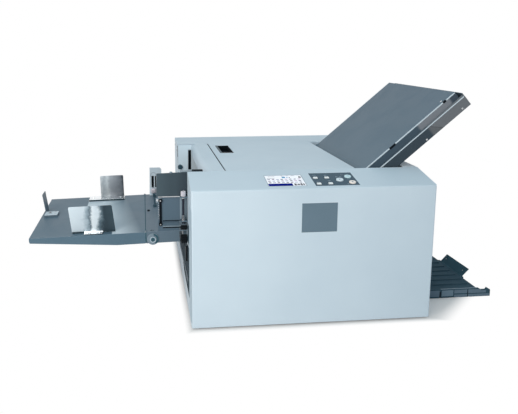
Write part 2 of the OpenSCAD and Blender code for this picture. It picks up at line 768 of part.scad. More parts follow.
// Near plate of the feed head, folded from one sheet
module head_plate() color(slate) from_corner() {
    x = [-62, 0];
    low = table_z + 24;
    t = 2;
    face_y = near_y + 4;
    difference() {
        union() {
            // ledge, face and the foot that steps out to the table base
            span(x, [near_y, table_near + 1], [ledge_z - t, ledge_z]);
            span(x, [face_y, face_y + t], [low, ledge_z - t + 0.5]);
            span([x[0], -17], [face_y, table_near + t], [low, low + t]);
            span([x[0], -17], [table_near, table_near + t], [table_z - 5, low + 0.5]);
            // ears of the gap rod
            for (z = [ledge_z - t, low]) span([-16, 0], [rod_y_at - 4, face_y + 0.5], [z, z + t]);
            height_rack(low + t, ledge_z - t, face_y);
        }
        for (z = [ledge_z - t, low]) rod_z(rod_x_at, rod_y_at, rod_r + run_fit, [z - 1, z + t + 1]);
        // the foot stands on the sloping table base
        on_table() span([-80, 5], [table_near - 5, table_near + 20], [-20, 0]);
    }
}

// Toothed strip on the left edge of the head plate
module height_rack(low, high, y) {
    pitch = 4;
    teeth = floor((high - low) / pitch);
    span([-58, -54], [y - 1.5, y + 0.5], [low - 1, high + 0.5]);
    for (i = [0:teeth - 1]) span([-61, -58], [y - 1.5, y + 0.5], [low + i * pitch, low + i * pitch + pitch / 2]);
}

rod_x_at = -9;
rod_y_at = front_depth - 2;
knob_y = near_y + 11;

module head_shield() color(dark_slate) from_corner() {
    side([near_y, near_y + 2]) polygon([
        [-shield_len, ledge_z], [-shield_len + 1, body_top - 3], [-1, body_top - 1], [16, body_top - 1],
        [16, ledge_z + 20], [0, ledge_z]
    ]);
}

module gap_rod() color(steel) from_corner() {
    rod_z(rod_x_at, rod_y_at, rod_r, [table_z + 21, ledge_z + gap]);
    translate([rod_x_at, rod_y_at, ledge_z + gap]) knob(rod_knob_r, 12, 16);
    rod_z(rod_x_at, rod_y_at, rod_r + 1.5, [table_z + 20, table_z + 23]);
}

// Slotted bracket that stands on the table base at the far side
module far_bracket() color(housing_colour) from_corner() {
    y = table_far - 4;
    difference() {
        union() {
            side([y, y + 2]) polygon([
                [-76, table_z - 1.5], [-75, table_z + 71], [-48, table_z + 71], [-44, table_z + 66], [-44, table_z - 1]
            ]);
            span([-76, -44], [y - 12, y], [table_z - 1.5, table_z + 0.5]);
        }
        for (s = [[-70.5, 6.5], [-61.5, 3.5]])
            side([y - 1, y + 3]) translate([s[0], table_z + 17]) round_rect(s[1], 32, 1.6);
        side([y - 1, y + 3]) translate([clamp_x, clamp_z]) circle(4 + run_fit);
        on_table() span([-90, 5], [y - 20, y + 10], [-20, 0]);
    }
}

clamp_x = -65;
clamp_z = table_z + 8.6;

module clamp_knob() color(steel) from_corner() {
    y = table_far - 4;
    translate([clamp_x, y - gap, clamp_z]) rotate([90, 0, 0]) knob(8, 9, 20);
    rod_y(clamp_x, clamp_z, 4, [y - gap, y + 3]);
}

skew_z = 157;
pressure_z = 182.3;

// Knobs on the flange at the left end of the front frame
module skew_knob() color(black) from_corner() {
    rod_x(knob_y, skew_z, skew_shaft_r - run_fit, [-gap, flange_t + 0.5]);
    translate([-gap, knob_y, skew_z]) rotate([0, -90, 0]) knob(9.5, 14, 18);
}

module pressure_knob() color(black) from_corner() {
    rod_x(knob_y, pressure_z, pressure_shaft_r - run_fit, [-gap, flange_t + 0.5]);
    translate([-gap, knob_y, pressure_z]) rotate([0, -90, 0]) knob(5, 14, 12);
}

module feed_drum() color([0.2, 0.2, 0.21]) from_corner() {
    rod_y(drum_at[0], drum_at[1], shaft_r, [front_depth, far_y + frame_t + 14]);
    rod_y(drum_at[0], drum_at[1], 12, [path_y - 120, path_y + 120]);
    for (y = [-70, 0, 70]) rod_y(drum_at[0], drum_at[1], drum_r, [path_y + y - 17, path_y + y + 17]);
}

// Retard pad under the drum, on a bracket across the frames
module separator() color(black) from_corner() {
    top = table_z + 2.5;
    span([drum_at[0] - 10, drum_at[0] + 12], [path_y - 20, path_y + 20], [top - 6, top]);
    span([25.5, 35], [near_y, far_y], [table_z - 24, table_z - 4]);
    span([drum_at[0] - 10, 35], [path_y - 30, path_y + 30], [table_z - 12, top - 6]);
    // sill that leads the sheets in from the table base
    span([gap, drum_at[0] - 9], [path_y - 150, path_y + 150], [table_z - 5, table_z - 3]);
    span([drum_at[0] - 12, drum_at[0] - 9], [path_y - 150, path_y + 150], [table_z - 12, table_z - 3]);
    span([drum_at[0] - 12, 35], [path_y - 30, path_y + 30], [table_z - 12, table_z - 10]);
}

// ---------- rollers and drive ----------

module fold_roller(i) color(steel) from_corner() {
    c = centres[i];
    rod_y(c[0], c[1], shaft_r, [front_depth, gear_y + gear_w]);
    rod_y(c[0], c[1], roller_r, [near_y + 6, far_y - 6]);
    // the last roller also drives the exit belt
    if (i == 3) {
        rod_y(c[0], c[1], shaft_r, [gear_y + gear_w, belt_y]);
        rod_y(c[0], c[1], pulley_r, [belt_y, belt_y + belt_w]);
    }
}
module fold_roller_1() fold_roller(0);
module fold_roller_2() fold_roller(1);
module fold_roller_3() fold_roller(2);
module fold_roller_4() fold_roller(3);

module roller_gear(i) color([0.85, 0.83, 0.75]) from_corner() {
    c = centres[i];
    side([gear_y, gear_y + gear_w]) translate(c) difference() {
        gear_outline(gear_teeth, gear_m, teeth_at[i]);
        circle(shaft_r);
    }
}
module roller_gear_1() roller_gear(0);
module roller_gear_2() roller_gear(1);
module roller_gear_3() roller_gear(2);
module roller_gear_4() roller_gear(3);

module drive_motor() color(dark_slate) from_corner() {
    c = pinion_at;
    difference() {
        union() {
            rod_y(c[0], c[1], motor_r, [motor_y, motor_y + motor_len]);
            span([c[0] - motor_r - 6, c[0] + motor_r + 6], [motor_y - 4, motor_y], [floor_z, c[1] + motor_r]);
            span([c[0] - motor_r - 6, c[0] + motor_r + 6], [motor_y, motor_y + motor_len - 10], [floor_z, floor_z + 4]);
        }
        rod_y(c[0], c[1], pinion_shaft_r + run_fit, [motor_y - 5, motor_y + 21]);
    }
}

module motor_pinion() color(steel) from_corner() {
    c = pinion_at;
    rod_y(c[0], c[1], pinion_shaft_r, [gear_y, motor_y + 20]);
    side([gear_y, gear_y + gear_w]) translate(c) gear_outline(pinion_teeth, gear_m, tooth_p);
}

module exit_roller() color([0.3, 0.3, 0.31]) from_corner() {
    c = exit_at;
    rod_y(c[0], c[1], shaft_r, [front_depth, belt_y + 1]);
    for (y = [-130, -45, 45, 130]) rod_y(c[0], c[1], exit_r, [path_y + y - 12, path_y + y + 12]);
    rod_y(c[0], c[1], pulley_r, [belt_y, belt_y + belt_w]);
}

// Belt from the last fold roller to the exit roller
module exit_belt() color(black) from_corner() on_belt() side([belt_y, belt_y + belt_w]) difference() {
    belt_loop(belt_len, pulley_r + gap + belt_t);
    belt_loop(belt_len, pulley_r + gap);
}

module belt_loop(d, r) {
    circle(r);
    translate([d, 0]) circle(r);
    translate([0, -r]) square([d, 2 * r]);
}

// ---------- fold plates ----------

// Lid of the first plate: face, folded sides and the upper paper guide
module plate_1_lid() color(slate) from_corner() on_plate_1() {
    y = [plate_near + tray_wall, plate_far - tray_wall];
    span([0, plate_len], y, [-sheet, 0]);
    for (s = [y[0], y[1] - sheet]) span([0, plate_len], [s, s + sheet], [-guide_n, -sheet]);
    span([-tongue, plate_len], y, [-guide_n - sheet, -guide_n]);
    // lip folded towards the cover
    rotate([0, plate_slope, 0]) span([-11, 1], y, [-sheet, 0]);
}

// Tray of the first plate: back, proud sides, end wall and the lower paper guide
module plate_1_tray() color(slate) from_corner() on_plate_1() {
    y = [plate_near, plate_far];
    in_y = [y[0] + tray_wall, y[1] - tray_wall];
    end = plate_len + tray_over;
    for (s = [y[0], in_y[1]]) side([s, s + tray_wall]) polygon([
        [0, -lid_depth], [end - 4, -lid_depth + 4], [end - 1, -lid_depth + 1], [end, -lid_depth - 2],
        [end, -plate_depth], [24, -plate_depth], [0, -lower_n]
    ]);
    span([-tongue, end - sheet], in_y, [-lower_n, -lower_n + sheet]);
    span([24, end - sheet], in_y, [-plate_depth, -plate_depth + sheet]);
    span([end - sheet, end], in_y, [-plate_depth, -lid_depth + 7]);
}

// Stop bar that sets the fold length
module plate_1_stop() color(steel) from_corner() on_plate_1() {
    top = guide_n + sheet + gap;
    for (y = [-140, -70, 0, 70, 140])
        span([stop_s, stop_s + 8], [path_y + y - 12, path_y + y + 12], [-top - paper_gap + 2 * gap, -top]);
    span([stop_s + 8, stop_s + 16], [path_y - 160, path_y + 160], [-top - paper_gap + 2 * gap, -top]);
}

// Second fold plate: a shallow box that fills the left opening
module plate_2_case() color(teal_slate) from_corner() {
    y = [near_y + 8, far_y - 8];
    low = foot_h + pan_lip + 4;
    on_plate_2() difference() {
        span([0, plate2_len], y, [0, plate2_t]);
        span([12, plate2_len + 1], [y[0] + 8, y[1] - 8], [plate2_t / 2 - paper_gap / 2, plate2_t / 2 + paper_gap / 2]);
    }
    // end face, with a slot for the hand
    difference() {
        span([2, 5], y, [low, skew_z - 17]);
        span([0, 6], [path_y - 50, path_y + 50], [low + 40, low + 62]);
        rod_x(lever_y, lever_z, lever_pin_r + run_fit, [1, 6]);
    }
}

lever_z = 132;
lever_y = near_y + 18;
lever_pin_r = 2.5;

module plate_2_lever() color(black) from_corner() {
    rod_x(lever_y, lever_z, lever_pin_r, [1, 6]);
    translate([2 - gap, lever_y, lever_z]) rotate([90, 0, -90]) linear_extrude(5) {
        circle(6);
        translate([-4, -24]) square([8, 24]);
        translate([0, -24]) circle(4);
    }
}

// ---------- stacker ----------

module stacker_tray() color(teal_slate) from_corner() {
    x = [stacker_x, stacker_x + bed_len];
    tip = body_len + stacker_reach;
    low = 0.6;
    wall_y = [stacker_near, stacker_near + wall_t];
    pitch = (stacker_far - stacker_near - 30) / rib_count;
    difference() {
        union() {
            span(x, [stacker_near, stacker_far], [bed_z - 6, bed_z]);
            // ribs along the paper path
            for (i = [0:rib_count - 1]) translate([0, stacker_near + 26 + i * pitch, 0])
                span([x[0] + 12, x[1] - 8], [0, 4], [bed_z - 1, bed_z + rib_h]);
            // near wall with its hooked end, and the far wall
            side(wall_y) polygon([
                [x[0], low], [x[0], bed_z], [tip - 29, bed_z], [tip - 22, bed_z - 4], [tip - 12, bed_z - 4],
                [tip - 9, bed_z + 0.5], [tip, bed_z - 5], [tip, low]
            ]);
            span(x, [stacker_far - wall_t, stacker_far], [low, bed_z - 5]);
            span([x[1] - wall_t, x[1]], [stacker_near, stacker_far], [8, bed_z - 5]);
            // pads that stand on the table top
            for (px = [x[0] + 20, x[1] - 20], py = [stacker_near + wall_t + 12, stacker_far - wall_t - 12])
                translate([px, py, 0]) cylinder(r = 8, h = bed_z - 5);
            // ears of the stop flap
            for (y = [flap_y - gap - wall_t, flap_y + flap_w + gap]) side([y, y + wall_t]) {
                translate(flap_axis) circle(3);
                translate([x[1] - 1, flap_axis[1] - 3]) square([flap_axis[0] - x[1] + 1, 6]);
            }
        }
        // room for the hinge lugs, and the bores of their pins
        for (y = lug_spans()) span([x[0] - 1, x[0] + 11], [y[0] - gap, y[1] + gap], [0, bed_z + 1]);
        rod_y(stacker_axis[0], stacker_axis[1], lug_pin_r + run_fit, [wall_y[0] - 1, stacker_far + 1]);
        rod_y(flap_axis[0], flap_axis[1], flap_pin_r + run_fit, [flap_y - 8, flap_y + flap_w + 8]);
        // recesses in the near wall
        span([x[0] + 92, x[0] + 118], [wall_y[0] - 1, wall_y[0] + 1], [low - 1, 5]);
        span([x[0] + 139, x[0] + 141], [wall_y[0] - 1, wall_y[0] + 1], [low - 1, bed_z - 2]);
        span([x[0] + 70, x[0] + 73], [wall_y[0] - 1, wall_y[0] + 1.5], [low - 1, bed_z - 6]);
    }
}

flap_pin_r = 1.4;

// Leaning stop flap in its clip at the end of the bed
module stacker_flap() color(teal_slate) from_corner() {
    y = [flap_y, flap_y + flap_w];
    rod_y(flap_axis[0], flap_axis[1], 2.4, y);
    rod_y(flap_axis[0], flap_axis[1], flap_pin_r, [y[0] - gap - wall_t, y[1] + gap + wall_t]);
    translate([flap_axis[0], 0, flap_axis[1]]) rotate([0, -flap_lean, 0]) difference() {
        span([0, flap_len], [y[0] + 1, y[1] - 1], [-0.75, 0.75]);
        for (sy = [y[0] + 14, y[1] - 14]) translate([flap_len - 8, sy, -1]) cylinder(r = 1.8, h = 2);
    }
}

base_pan();
feet();
front_housing();
rear_housing();
front_frame();
rear_frame();
tie_bars();
top_strip();
right_cover();
top_cover();
handle_cup();
hinge_pins();
screen_case();
screen_glass();
key_panel();
key_square_1();
key_square_2();
key_square_3();
key_square_4();
key_start();
key_blue();
key_cream();
front_badge();
power_inlet();
switch_rocker();
table_base();
feed_table();
near_guide();
far_guide();
tail_stop();
lock_knob();
head_plate();
head_shield();
gap_rod();
far_bracket();
clamp_knob();
skew_knob();
pressure_knob();
feed_drum();
separator();
fold_roller_1();
fold_roller_2();
fold_roller_3();
fold_roller_4();
roller_gear_1();
roller_gear_2();
roller_gear_3();
roller_gear_4();
drive_motor();
motor_pinion();
exit_roller();
exit_belt();
plate_1_lid();
plate_1_tray();
plate_1_stop();
plate_2_case();
plate_2_lever();
stacker_tray();
stacker_flap();
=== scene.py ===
import bmesh
import bpy
import json
import math
from mathutils import Matrix, Vector


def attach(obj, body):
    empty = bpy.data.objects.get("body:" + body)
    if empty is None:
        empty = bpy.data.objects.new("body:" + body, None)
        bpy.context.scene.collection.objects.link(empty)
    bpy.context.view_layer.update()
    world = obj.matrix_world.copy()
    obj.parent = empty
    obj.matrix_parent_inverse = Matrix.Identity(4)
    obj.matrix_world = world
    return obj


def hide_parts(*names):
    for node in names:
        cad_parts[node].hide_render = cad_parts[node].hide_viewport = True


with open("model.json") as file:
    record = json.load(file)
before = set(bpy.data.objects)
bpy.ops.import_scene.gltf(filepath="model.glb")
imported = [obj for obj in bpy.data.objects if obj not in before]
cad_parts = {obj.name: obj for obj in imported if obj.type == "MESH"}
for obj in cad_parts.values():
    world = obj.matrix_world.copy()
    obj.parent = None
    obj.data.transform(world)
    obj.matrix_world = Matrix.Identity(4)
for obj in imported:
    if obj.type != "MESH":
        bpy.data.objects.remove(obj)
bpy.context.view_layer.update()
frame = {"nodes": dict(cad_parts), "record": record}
nodes = frame["nodes"]
scene = bpy.context.scene
scene.view_settings.view_transform = "Standard"
print("frame loaded:", len(nodes), "nodes")

# Millimetres from the body's front left corner on the floor, and the frames of its tilted parts
middle = (180.057, 303.5)  # where the scene's origin lies in that frame
plateRise = {"x": 377.7, "z": 295.6, "slope": 40.4, "length": 263}  # foot, slope and length of the first fold plate
toRow = Matrix.Scale(0.001, 4) @ Matrix.Translation((-middle[0], -middle[1], 0))


def tiltedFrame(place, axis, degrees):
    return toRow @ Matrix.Translation(place) @ Matrix.Rotation(math.radians(degrees), 4, axis)


slopeFrame = tiltedFrame((0, 0, 287), "X", 10.757)
tableFrame = tiltedFrame((0, 0, 176), "Y", -1.5)
plateFrame = tiltedFrame((plateRise["x"], 0, plateRise["z"]), "Y", -plateRise["slope"])

# ---- camera, studio and floor

viewpoint = {"place": (-0.26886, -1.4985, 0.5644), "pitch": 79.543, "turn": -6.576,
             "lens": 44.10, "sensor": 36, "shiftX": 0.0828, "shiftY": -0.0851}
camera = bpy.data.objects.new("viewCamera", bpy.data.cameras.new("viewCamera"))
scene.collection.objects.link(camera)
camera.location = viewpoint["place"]
camera.rotation_euler = (math.radians(viewpoint["pitch"]), 0, math.radians(viewpoint["turn"]))
camera.data.lens = viewpoint["lens"]
camera.data.sensor_width = viewpoint["sensor"]
camera.data.shift_x = viewpoint["shiftX"]
camera.data.shift_y = viewpoint["shiftY"]
scene.camera = camera


# Adds a shader node. A value that is a socket is linked, any other is set on the input.
def put(tree, kind, values=None, **settings):
    made = tree.nodes.new(kind)
    for name, value in settings.items():
        setattr(made, name, value)
    for name, value in (values or {}).items():
        if isinstance(value, bpy.types.NodeSocket):
            tree.links.new(value, made.inputs[name])
        else:
            made.inputs[name].default_value = value
    return made


def maths(tree, operation, a, b=0.0, c=0.0, clamp=False):
    return put(tree, "ShaderNodeMath", {0: a, 1: b, 2: c}, operation=operation, use_clamp=clamp).outputs[0]


def blendColours(tree, factor, a, b):
    return put(tree, "ShaderNodeMix", {0: factor, 6: a, 7: b}, data_type="RGBA").outputs[2]


def rescale(tree, value, low, high, newLow, newHigh):
    return put(tree, "ShaderNodeMapRange", {"Value": value, "From Min": low, "From Max": high,
                                            "To Min": newLow, "To Max": newHigh}).outputs[0]


# A written sRGB colour, 0 to 255, as the linear colour that a shader takes
def srgb(red, green, blue):
    def toLinear(c):
        c = c / 255
        return c / 12.92 if c <= 0.04045 else ((c + 0.055) / 1.055) ** 2.4
    return (toLinear(red), toLinear(green), toLinear(blue), 1)


studio = {"ambient": 0.47, "ambientColour": (0.80, 0.92, 1.0, 1), "backdrop": (1, 1, 1, 1)}
world = bpy.data.worlds.new("studio")
scene.world = world
world.use_nodes = True
tree = world.node_tree
tree.nodes.clear()
rays = put(tree, "ShaderNodeLightPath")
seen = maths(tree, "MAXIMUM", rays.outputs["Is Camera Ray"],
             maths(tree, "MAXIMUM", rays.outputs["Is Glossy Ray"], rays.outputs["Is Transmission Ray"]))
ambient = put(tree, "ShaderNodeBackground", {"Color": studio["ambientColour"], "Strength": studio["ambient"]})
backdrop = put(tree, "ShaderNodeBackground", {"Color": studio["backdrop"], "Strength": 1.0})
mixed = put(tree, "ShaderNodeMixShader", {0: seen, 1: ambient.outputs[0], 2: backdrop.outputs[0]})
put(tree, "ShaderNodeOutputWorld", {"Surface": mixed.outputs[0]})

# Soft boxes: place and aim in metres, size, power in watts, colour
lamps = {
    "keyBox": {"place": (-0.85, -1.4, 0.75), "aim": (-0.1, -0.3, 0.15), "size": (0.9, 0.9), "power": 15.5,
               "colour": (1.0, 0.94, 0.88)},
    "topBox": {"place": (0.0, 0.1, 2.1), "aim": (0.1, 0.0, 0.2), "size": (1.8, 1.4), "power": 6.2,
               "colour": (0.55, 0.88, 1.0)},
    "rightBox": {"place": (1.9, -0.9, 0.9), "aim": (0.3, 0.0, 0.15), "size": (0.9, 1.2), "power": 3,
                 "colour": (0.9, 0.96, 1.0)},
}
for name, lamp in lamps.items():
    light = bpy.data.lights.new(name, "AREA")
    light.shape = "RECTANGLE"
    light.size, light.size_y = lamp["size"]
    light.energy = lamp["power"]
    light.color = lamp["colour"]
    made = bpy.data.objects.new(name, light)
    made.location = lamp["place"]
    made.rotation_euler = (Vector(lamp["aim"]) - Vector(lamp["place"])).to_track_quat("-Z", "Y").to_euler()
    made.visible_camera = False
    scene.collection.objects.link(made)


def newMaterial(name):
    material = bpy.data.materials.new(name)
    material.use_nodes = True
    material.node_tree.nodes.clear()
    return material, material.node_tree


# Pale floor: it holds the shadow close to the body, and turns plain white across each border (metres).
# The slanting border runs across the floor right of the body, on X plus slant times Y.
floorFinish = {"colour": (0.80, 0.81, 0.82, 1), "cameraColour": (0.76, 0.74, 0.72, 1), "lift": 0.09,
               "cloud": (0.7, 0.72, 0.74, 1), "cloudShare": 0.02, "size": 30, "slant": -0.95,
               "borders": (("X", -0.1745, -0.195), ("X", 0.415, 0.48), ("Y", -0.301, -0.322), ("Y", 0.26, 0.38),
                           ("Slant", 0.612, 0.675))}
floorMaterial, tree = newMaterial("paleFloor")
rays = put(tree, "ShaderNodeLightPath")
seen = maths(tree, "MAXIMUM", rays.outputs["Is Camera Ray"], rays.outputs["Is Glossy Ray"])
where = put(tree, "ShaderNodeTexCoord").outputs["Object"]
split = put(tree, "ShaderNodeSeparateXYZ", {0: where})
across = {"X": split.outputs["X"], "Y": split.outputs["Y"]}
across["Slant"] = maths(tree, "MULTIPLY_ADD", across["Y"], floorFinish["slant"], across["X"])
farOut = 0.0
for axis, start, end in floorFinish["borders"]:
    beyond = put(tree, "ShaderNodeMapRange", {"Value": across[axis], "From Min": start, "From Max": end},
                 interpolation_type="SMOOTHSTEP")
    farOut = maths(tree, "MAXIMUM", beyond.outputs[0], farOut)
grain = put(tree, "ShaderNodeTexNoise", {"Vector": where, "Scale": 3.0, "Detail": 2.0}).outputs["Fac"]
tone = blendColours(tree, rays.outputs["Is Camera Ray"], floorFinish["colour"], floorFinish["cameraColour"])
tone = blendColours(tree, maths(tree, "MULTIPLY", grain, floorFinish["cloudShare"]), tone, floorFinish["cloud"])
lit = put(tree, "ShaderNodeBsdfDiffuse", {"Color": tone})
lift = put(tree, "ShaderNodeEmission", {"Color": (1, 1, 1, 1), "Strength": floorFinish["lift"]})
nearFloor = put(tree, "ShaderNodeAddShader", {0: lit.outputs[0], 1: lift.outputs[0]})
nearFloor = put(tree, "ShaderNodeMixShader", {0: rays.outputs["Is Camera Ray"], 1: lit.outputs[0],
                                              2: nearFloor.outputs[0]})
white = put(tree, "ShaderNodeEmission", {"Color": (1, 1, 1, 1), "Strength": 1.0})
farMask = maths(tree, "MULTIPLY", farOut, seen)
mixed = put(tree, "ShaderNodeMixShader", {0: farMask, 1: nearFloor.outputs[0], 2: white.outputs[0]})
put(tree, "ShaderNodeOutputMaterial", {"Surface": mixed.outputs[0]})

bm = bmesh.new()
bmesh.ops.create_grid(bm, x_segments=2, y_segments=2, size=floorFinish["size"])
floorMesh = bpy.data.meshes.new("floor")
bm.to_mesh(floorMesh)
bm.free()
floorMesh.materials.append(floorMaterial)
floor = bpy.data.objects.new("floor", floorMesh)
scene.collection.objects.link(floor)
print("studio ready")

# ---- shared effects


def effectGroup(name, inputs, outputs):
    tree = bpy.data.node_groups.new(name, "ShaderNodeTree")
    for label, kind, value in inputs:
        socket = tree.interface.new_socket(label, in_out="INPUT", socket_type=kind)
        if value is not None:
            socket.default_value = value
    for label, kind in outputs:
        tree.interface.new_socket(label, in_out="OUTPUT", socket_type=kind)
    return tree, tree.nodes.new("NodeGroupInput").outputs, tree.nodes.new("NodeGroupOutput").inputs


# Fine orange peel of a powder coat, with a soft cloud of tone
coatGrain, given, out = effectGroup(
    "coatGrain", [("Vector", "NodeSocketVector", None), ("Scale", "NodeSocketFloat", 900.0)],
    [("Height", "NodeSocketFloat"), ("Cloud", "NodeSocketFloat"), ("Fleck", "NodeSocketFloat")])
peel = put(coatGrain, "ShaderNodeTexNoise", {"Vector": given["Vector"], "Scale": given["Scale"], "Detail": 2.0,
                                             "Roughness": 0.45})
coatGrain.links.new(peel.outputs["Fac"], out["Height"])
cloud = put(coatGrain, "ShaderNodeTexNoise", {"Vector": given["Vector"], "Scale": 5.0, "Detail": 3.0})
coatGrain.links.new(rescale(coatGrain, cloud.outputs["Fac"], 0.3, 0.7, 0.0, 1.0), out["Cloud"])
fleck = put(coatGrain, "ShaderNodeTexNoise", {"Vector": given["Vector"], "Scale": 420.0, "Detail": 1.0})
coatGrain.links.new(rescale(coatGrain, fleck.outputs["Fac"], 0.62, 0.72, 0.0, 1.0), out["Fleck"])

# Worn coat and painted highlight along the edges, broken up by noise
edgeWearAndHighlight, given, out = effectGroup(
    "edgeWearAndHighlight", [("Vector", "NodeSocketVector", None), ("Radius", "NodeSocketFloat", 0.001),
                 ("Patch", "NodeSocketFloat", 60.0)], [("Mask", "NodeSocketFloat")])
rounded = put(edgeWearAndHighlight, "ShaderNodeBevel", {"Radius": given["Radius"]}, samples=4)
flat = put(edgeWearAndHighlight, "ShaderNodeNewGeometry")
same = put(edgeWearAndHighlight, "ShaderNodeVectorMath", {0: rounded.outputs[0], 1: flat.outputs["True Normal"]},
           operation="DOT_PRODUCT").outputs["Value"]
edge = rescale(edgeWearAndHighlight, same, 0.995, 0.90, 0.0, 1.0)
patch = put(edgeWearAndHighlight, "ShaderNodeTexNoise", {"Vector": given["Vector"], "Scale": given["Patch"], "Detail": 3.0})
patch = rescale(edgeWearAndHighlight, patch.outputs["Fac"], 0.35, 0.6, 0.35, 1.0)
edgeWearAndHighlight.links.new(maths(edgeWearAndHighlight, "MULTIPLY", edge, patch, clamp=True), out["Mask"])

# Straight fine lines of rolled, ground or brushed metal
brushLines, given, out = effectGroup(
    "brushLines", [("Vector", "NodeSocketVector", None), ("Stretch", "NodeSocketVector", (40.0, 900.0, 900.0))],
    [("Height", "NodeSocketFloat"), ("Streak", "NodeSocketFloat")])
drawn = put(brushLines, "ShaderNodeVectorMath", {0: given["Vector"], 1: given["Stretch"]},
            operation="MULTIPLY").outputs[0]
line = put(brushLines, "ShaderNodeTexNoise", {"Vector": drawn, "Scale": 1.0, "Detail": 3.0}).outputs["Fac"]
brushLines.links.new(line, out["Height"])
wide = put(brushLines, "ShaderNodeVectorMath", {0: drawn, 1: (0.12, 0.12, 0.12)}, operation="MULTIPLY").outputs[0]
wide = put(brushLines, "ShaderNodeTexNoise", {"Vector": wide, "Scale": 1.0, "Detail": 2.0}).outputs["Fac"]
brushLines.links.new(rescale(brushLines, wide, 0.3, 0.7, 0.0, 1.0), out["Streak"])

# Faint handling marks, for the roughness
handling, given, out = effectGroup(
    "handling", [("Vector", "NodeSocketVector", None), ("Scale", "NodeSocketFloat", 14.0)],
    [("Mask", "NodeSocketFloat")])
smear = put(handling, "ShaderNodeTexNoise", {"Vector": given["Vector"], "Scale": given["Scale"], "Detail": 5.0,
                                             "Distortion": 1.2}).outputs["Fac"]
handling.links.new(rescale(handling, smear, 0.42, 0.66, 0.0, 1.0), out["Mask"])


def useGroup(tree, group, **values):
    return put(tree, "ShaderNodeGroup", values, node_tree=group).outputs


# ---- finishes

# Powder coats and enamels, as far as they differ from the usual coat. The colour along the edges stands for worn
# paint and a painted highlight together.
coatUsual = {"rough": 0.42, "peel": 0.16, "peelScale": 1300, "edge": 0.0008, "edgeShare": 0.4, "gloss": 0.18}
coats = {
    "paleCoat": {"colour": (204, 218, 227), "shade": (196, 211, 221), "wornAndHighlight": (226, 236, 241), "peel": 0.1,
                 "peelScale": 1500, "edge": 0.0012, "edgeShare": 0.5},
    "slateCoat": {"colour": (98, 116, 129), "shade": (88, 106, 119), "wornAndHighlight": (150, 166, 176), "rough": 0.46,
                  "edge": 0.001, "edgeShare": 0.5},
    "darkCoat": {"colour": (66, 77, 87), "shade": (58, 69, 79), "wornAndHighlight": (112, 124, 133), "rough": 0.45,
                 "edge": 0.0009, "edgeShare": 0.45},
    "edgeLine": {"colour": (208, 219, 226), "shade": (198, 210, 218), "wornAndHighlight": (232, 239, 242), "rough": 0.4,
                 "peel": 0.1, "edge": 0.0005, "edgeShare": 0.3},
    "edgeSlate": {"colour": (128, 144, 155), "shade": (116, 132, 144), "wornAndHighlight": (170, 184, 192), "peel": 0.12,
                  "edge": 0.0005},
    "edgeGrey": {"colour": (150, 163, 172), "shade": (140, 153, 163), "wornAndHighlight": (200, 210, 216), "peel": 0.12,
                 "edge": 0.0005},
    "wallSlate": {"colour": (98, 117, 131), "shade": (90, 108, 122), "wornAndHighlight": (138, 154, 164), "edge": 0.0006},
    "tileSlate": {"colour": (112, 132, 146), "shade": (103, 123, 137), "wornAndHighlight": (150, 166, 176), "edge": 0.0006},
    "flapCoat": {"colour": (58, 93, 105), "shade": (50, 83, 95), "wornAndHighlight": (90, 112, 122), "rough": 0.55,
                 "edgeShare": 0.35, "gloss": 0.06},
    "plateLidCoat": {"colour": (92, 113, 127), "shade": (86, 107, 121), "wornAndHighlight": (150, 166, 176), "rough": 0.44,
                     "peel": 0.14, "edgeShare": 0.3, "overlay": "lid"},
    "plateTrayCoat": {"colour": (96, 114, 127), "shade": (88, 106, 119), "wornAndHighlight": (140, 156, 166), "peel": 0.14,
                      "edgeShare": 0.3, "overlay": "tray"},
    "shieldCoat": {"colour": (60, 74, 82), "shade": (54, 68, 76), "wornAndHighlight": (98, 113, 122), "overlay": "shield"},
    "tableCoat": {"colour": (87, 111, 126), "shade": (80, 104, 119), "wornAndHighlight": (150, 166, 176), "peel": 0.14,
                  "edge": 0.001, "edgeShare": 0.5, "overlay": "table"},
    "tealCoat": {"colour": (62, 87, 99), "shade": (53, 76, 88), "wornAndHighlight": (96, 116, 126), "rough": 0.6, "edge": 0.001,
                 "gloss": 0.03},
    "headCoat": {"colour": (84, 103, 117), "shade": (76, 95, 109), "wornAndHighlight": (140, 156, 166), "rough": 0.46},
    "badgeCoat": {"colour": (108, 128, 141), "shade": (99, 119, 132), "wornAndHighlight": (150, 166, 176), "rough": 0.4,
                  "peel": 0.12, "edge": 0.0006, "edgeShare": 0.3},
    "keypadCoat": {"colour": (72, 92, 106), "shade": (66, 86, 100), "wornAndHighlight": (120, 138, 150), "rough": 0.62,
                   "peel": 0.08, "peelScale": 1500, "edge": 0.0005, "edgeShare": 0.2},
    "rimCoat": {"colour": (64, 84, 94), "shade": (54, 72, 82), "wornAndHighlight": (96, 114, 122), "rough": 0.5, "edge": 0.0006,
                "edgeShare": 0.3},
    # Darker copy of tealCoat, painted with the shade on the lower plate's case and on the throat's dark sheets
    "caseShadeCoat": {"colour": (32, 56, 68), "shade": (26, 46, 57), "wornAndHighlight": (70, 90, 100), "rough": 0.6,
                 "edgeShare": 0.3, "gloss": 0.02},
    # Paler copy of paleCoat, painted with the shade on the housing's left return
    "returnShadeCoat": {"colour": (186, 203, 213), "shade": (179, 196, 207), "wornAndHighlight": (190, 204, 212), "rough": 0.55,
                   "edgeShare": 0.3, "gloss": 0.1},
    # Lighter copy of paleCoat, painted with light for the throat's wall
    "paintedLightCoat": {"colour": (224, 241, 251), "shade": (216, 234, 245), "wornAndHighlight": (244, 249, 251), "peel": 0.1,
                   "peelScale": 1500, "edge": 0.0004, "edgeShare": 0.3},
}


def soft(tree, value, edge, width):
    return rescale(tree, value, edge - width, edge + width, 0.0, 1.0)


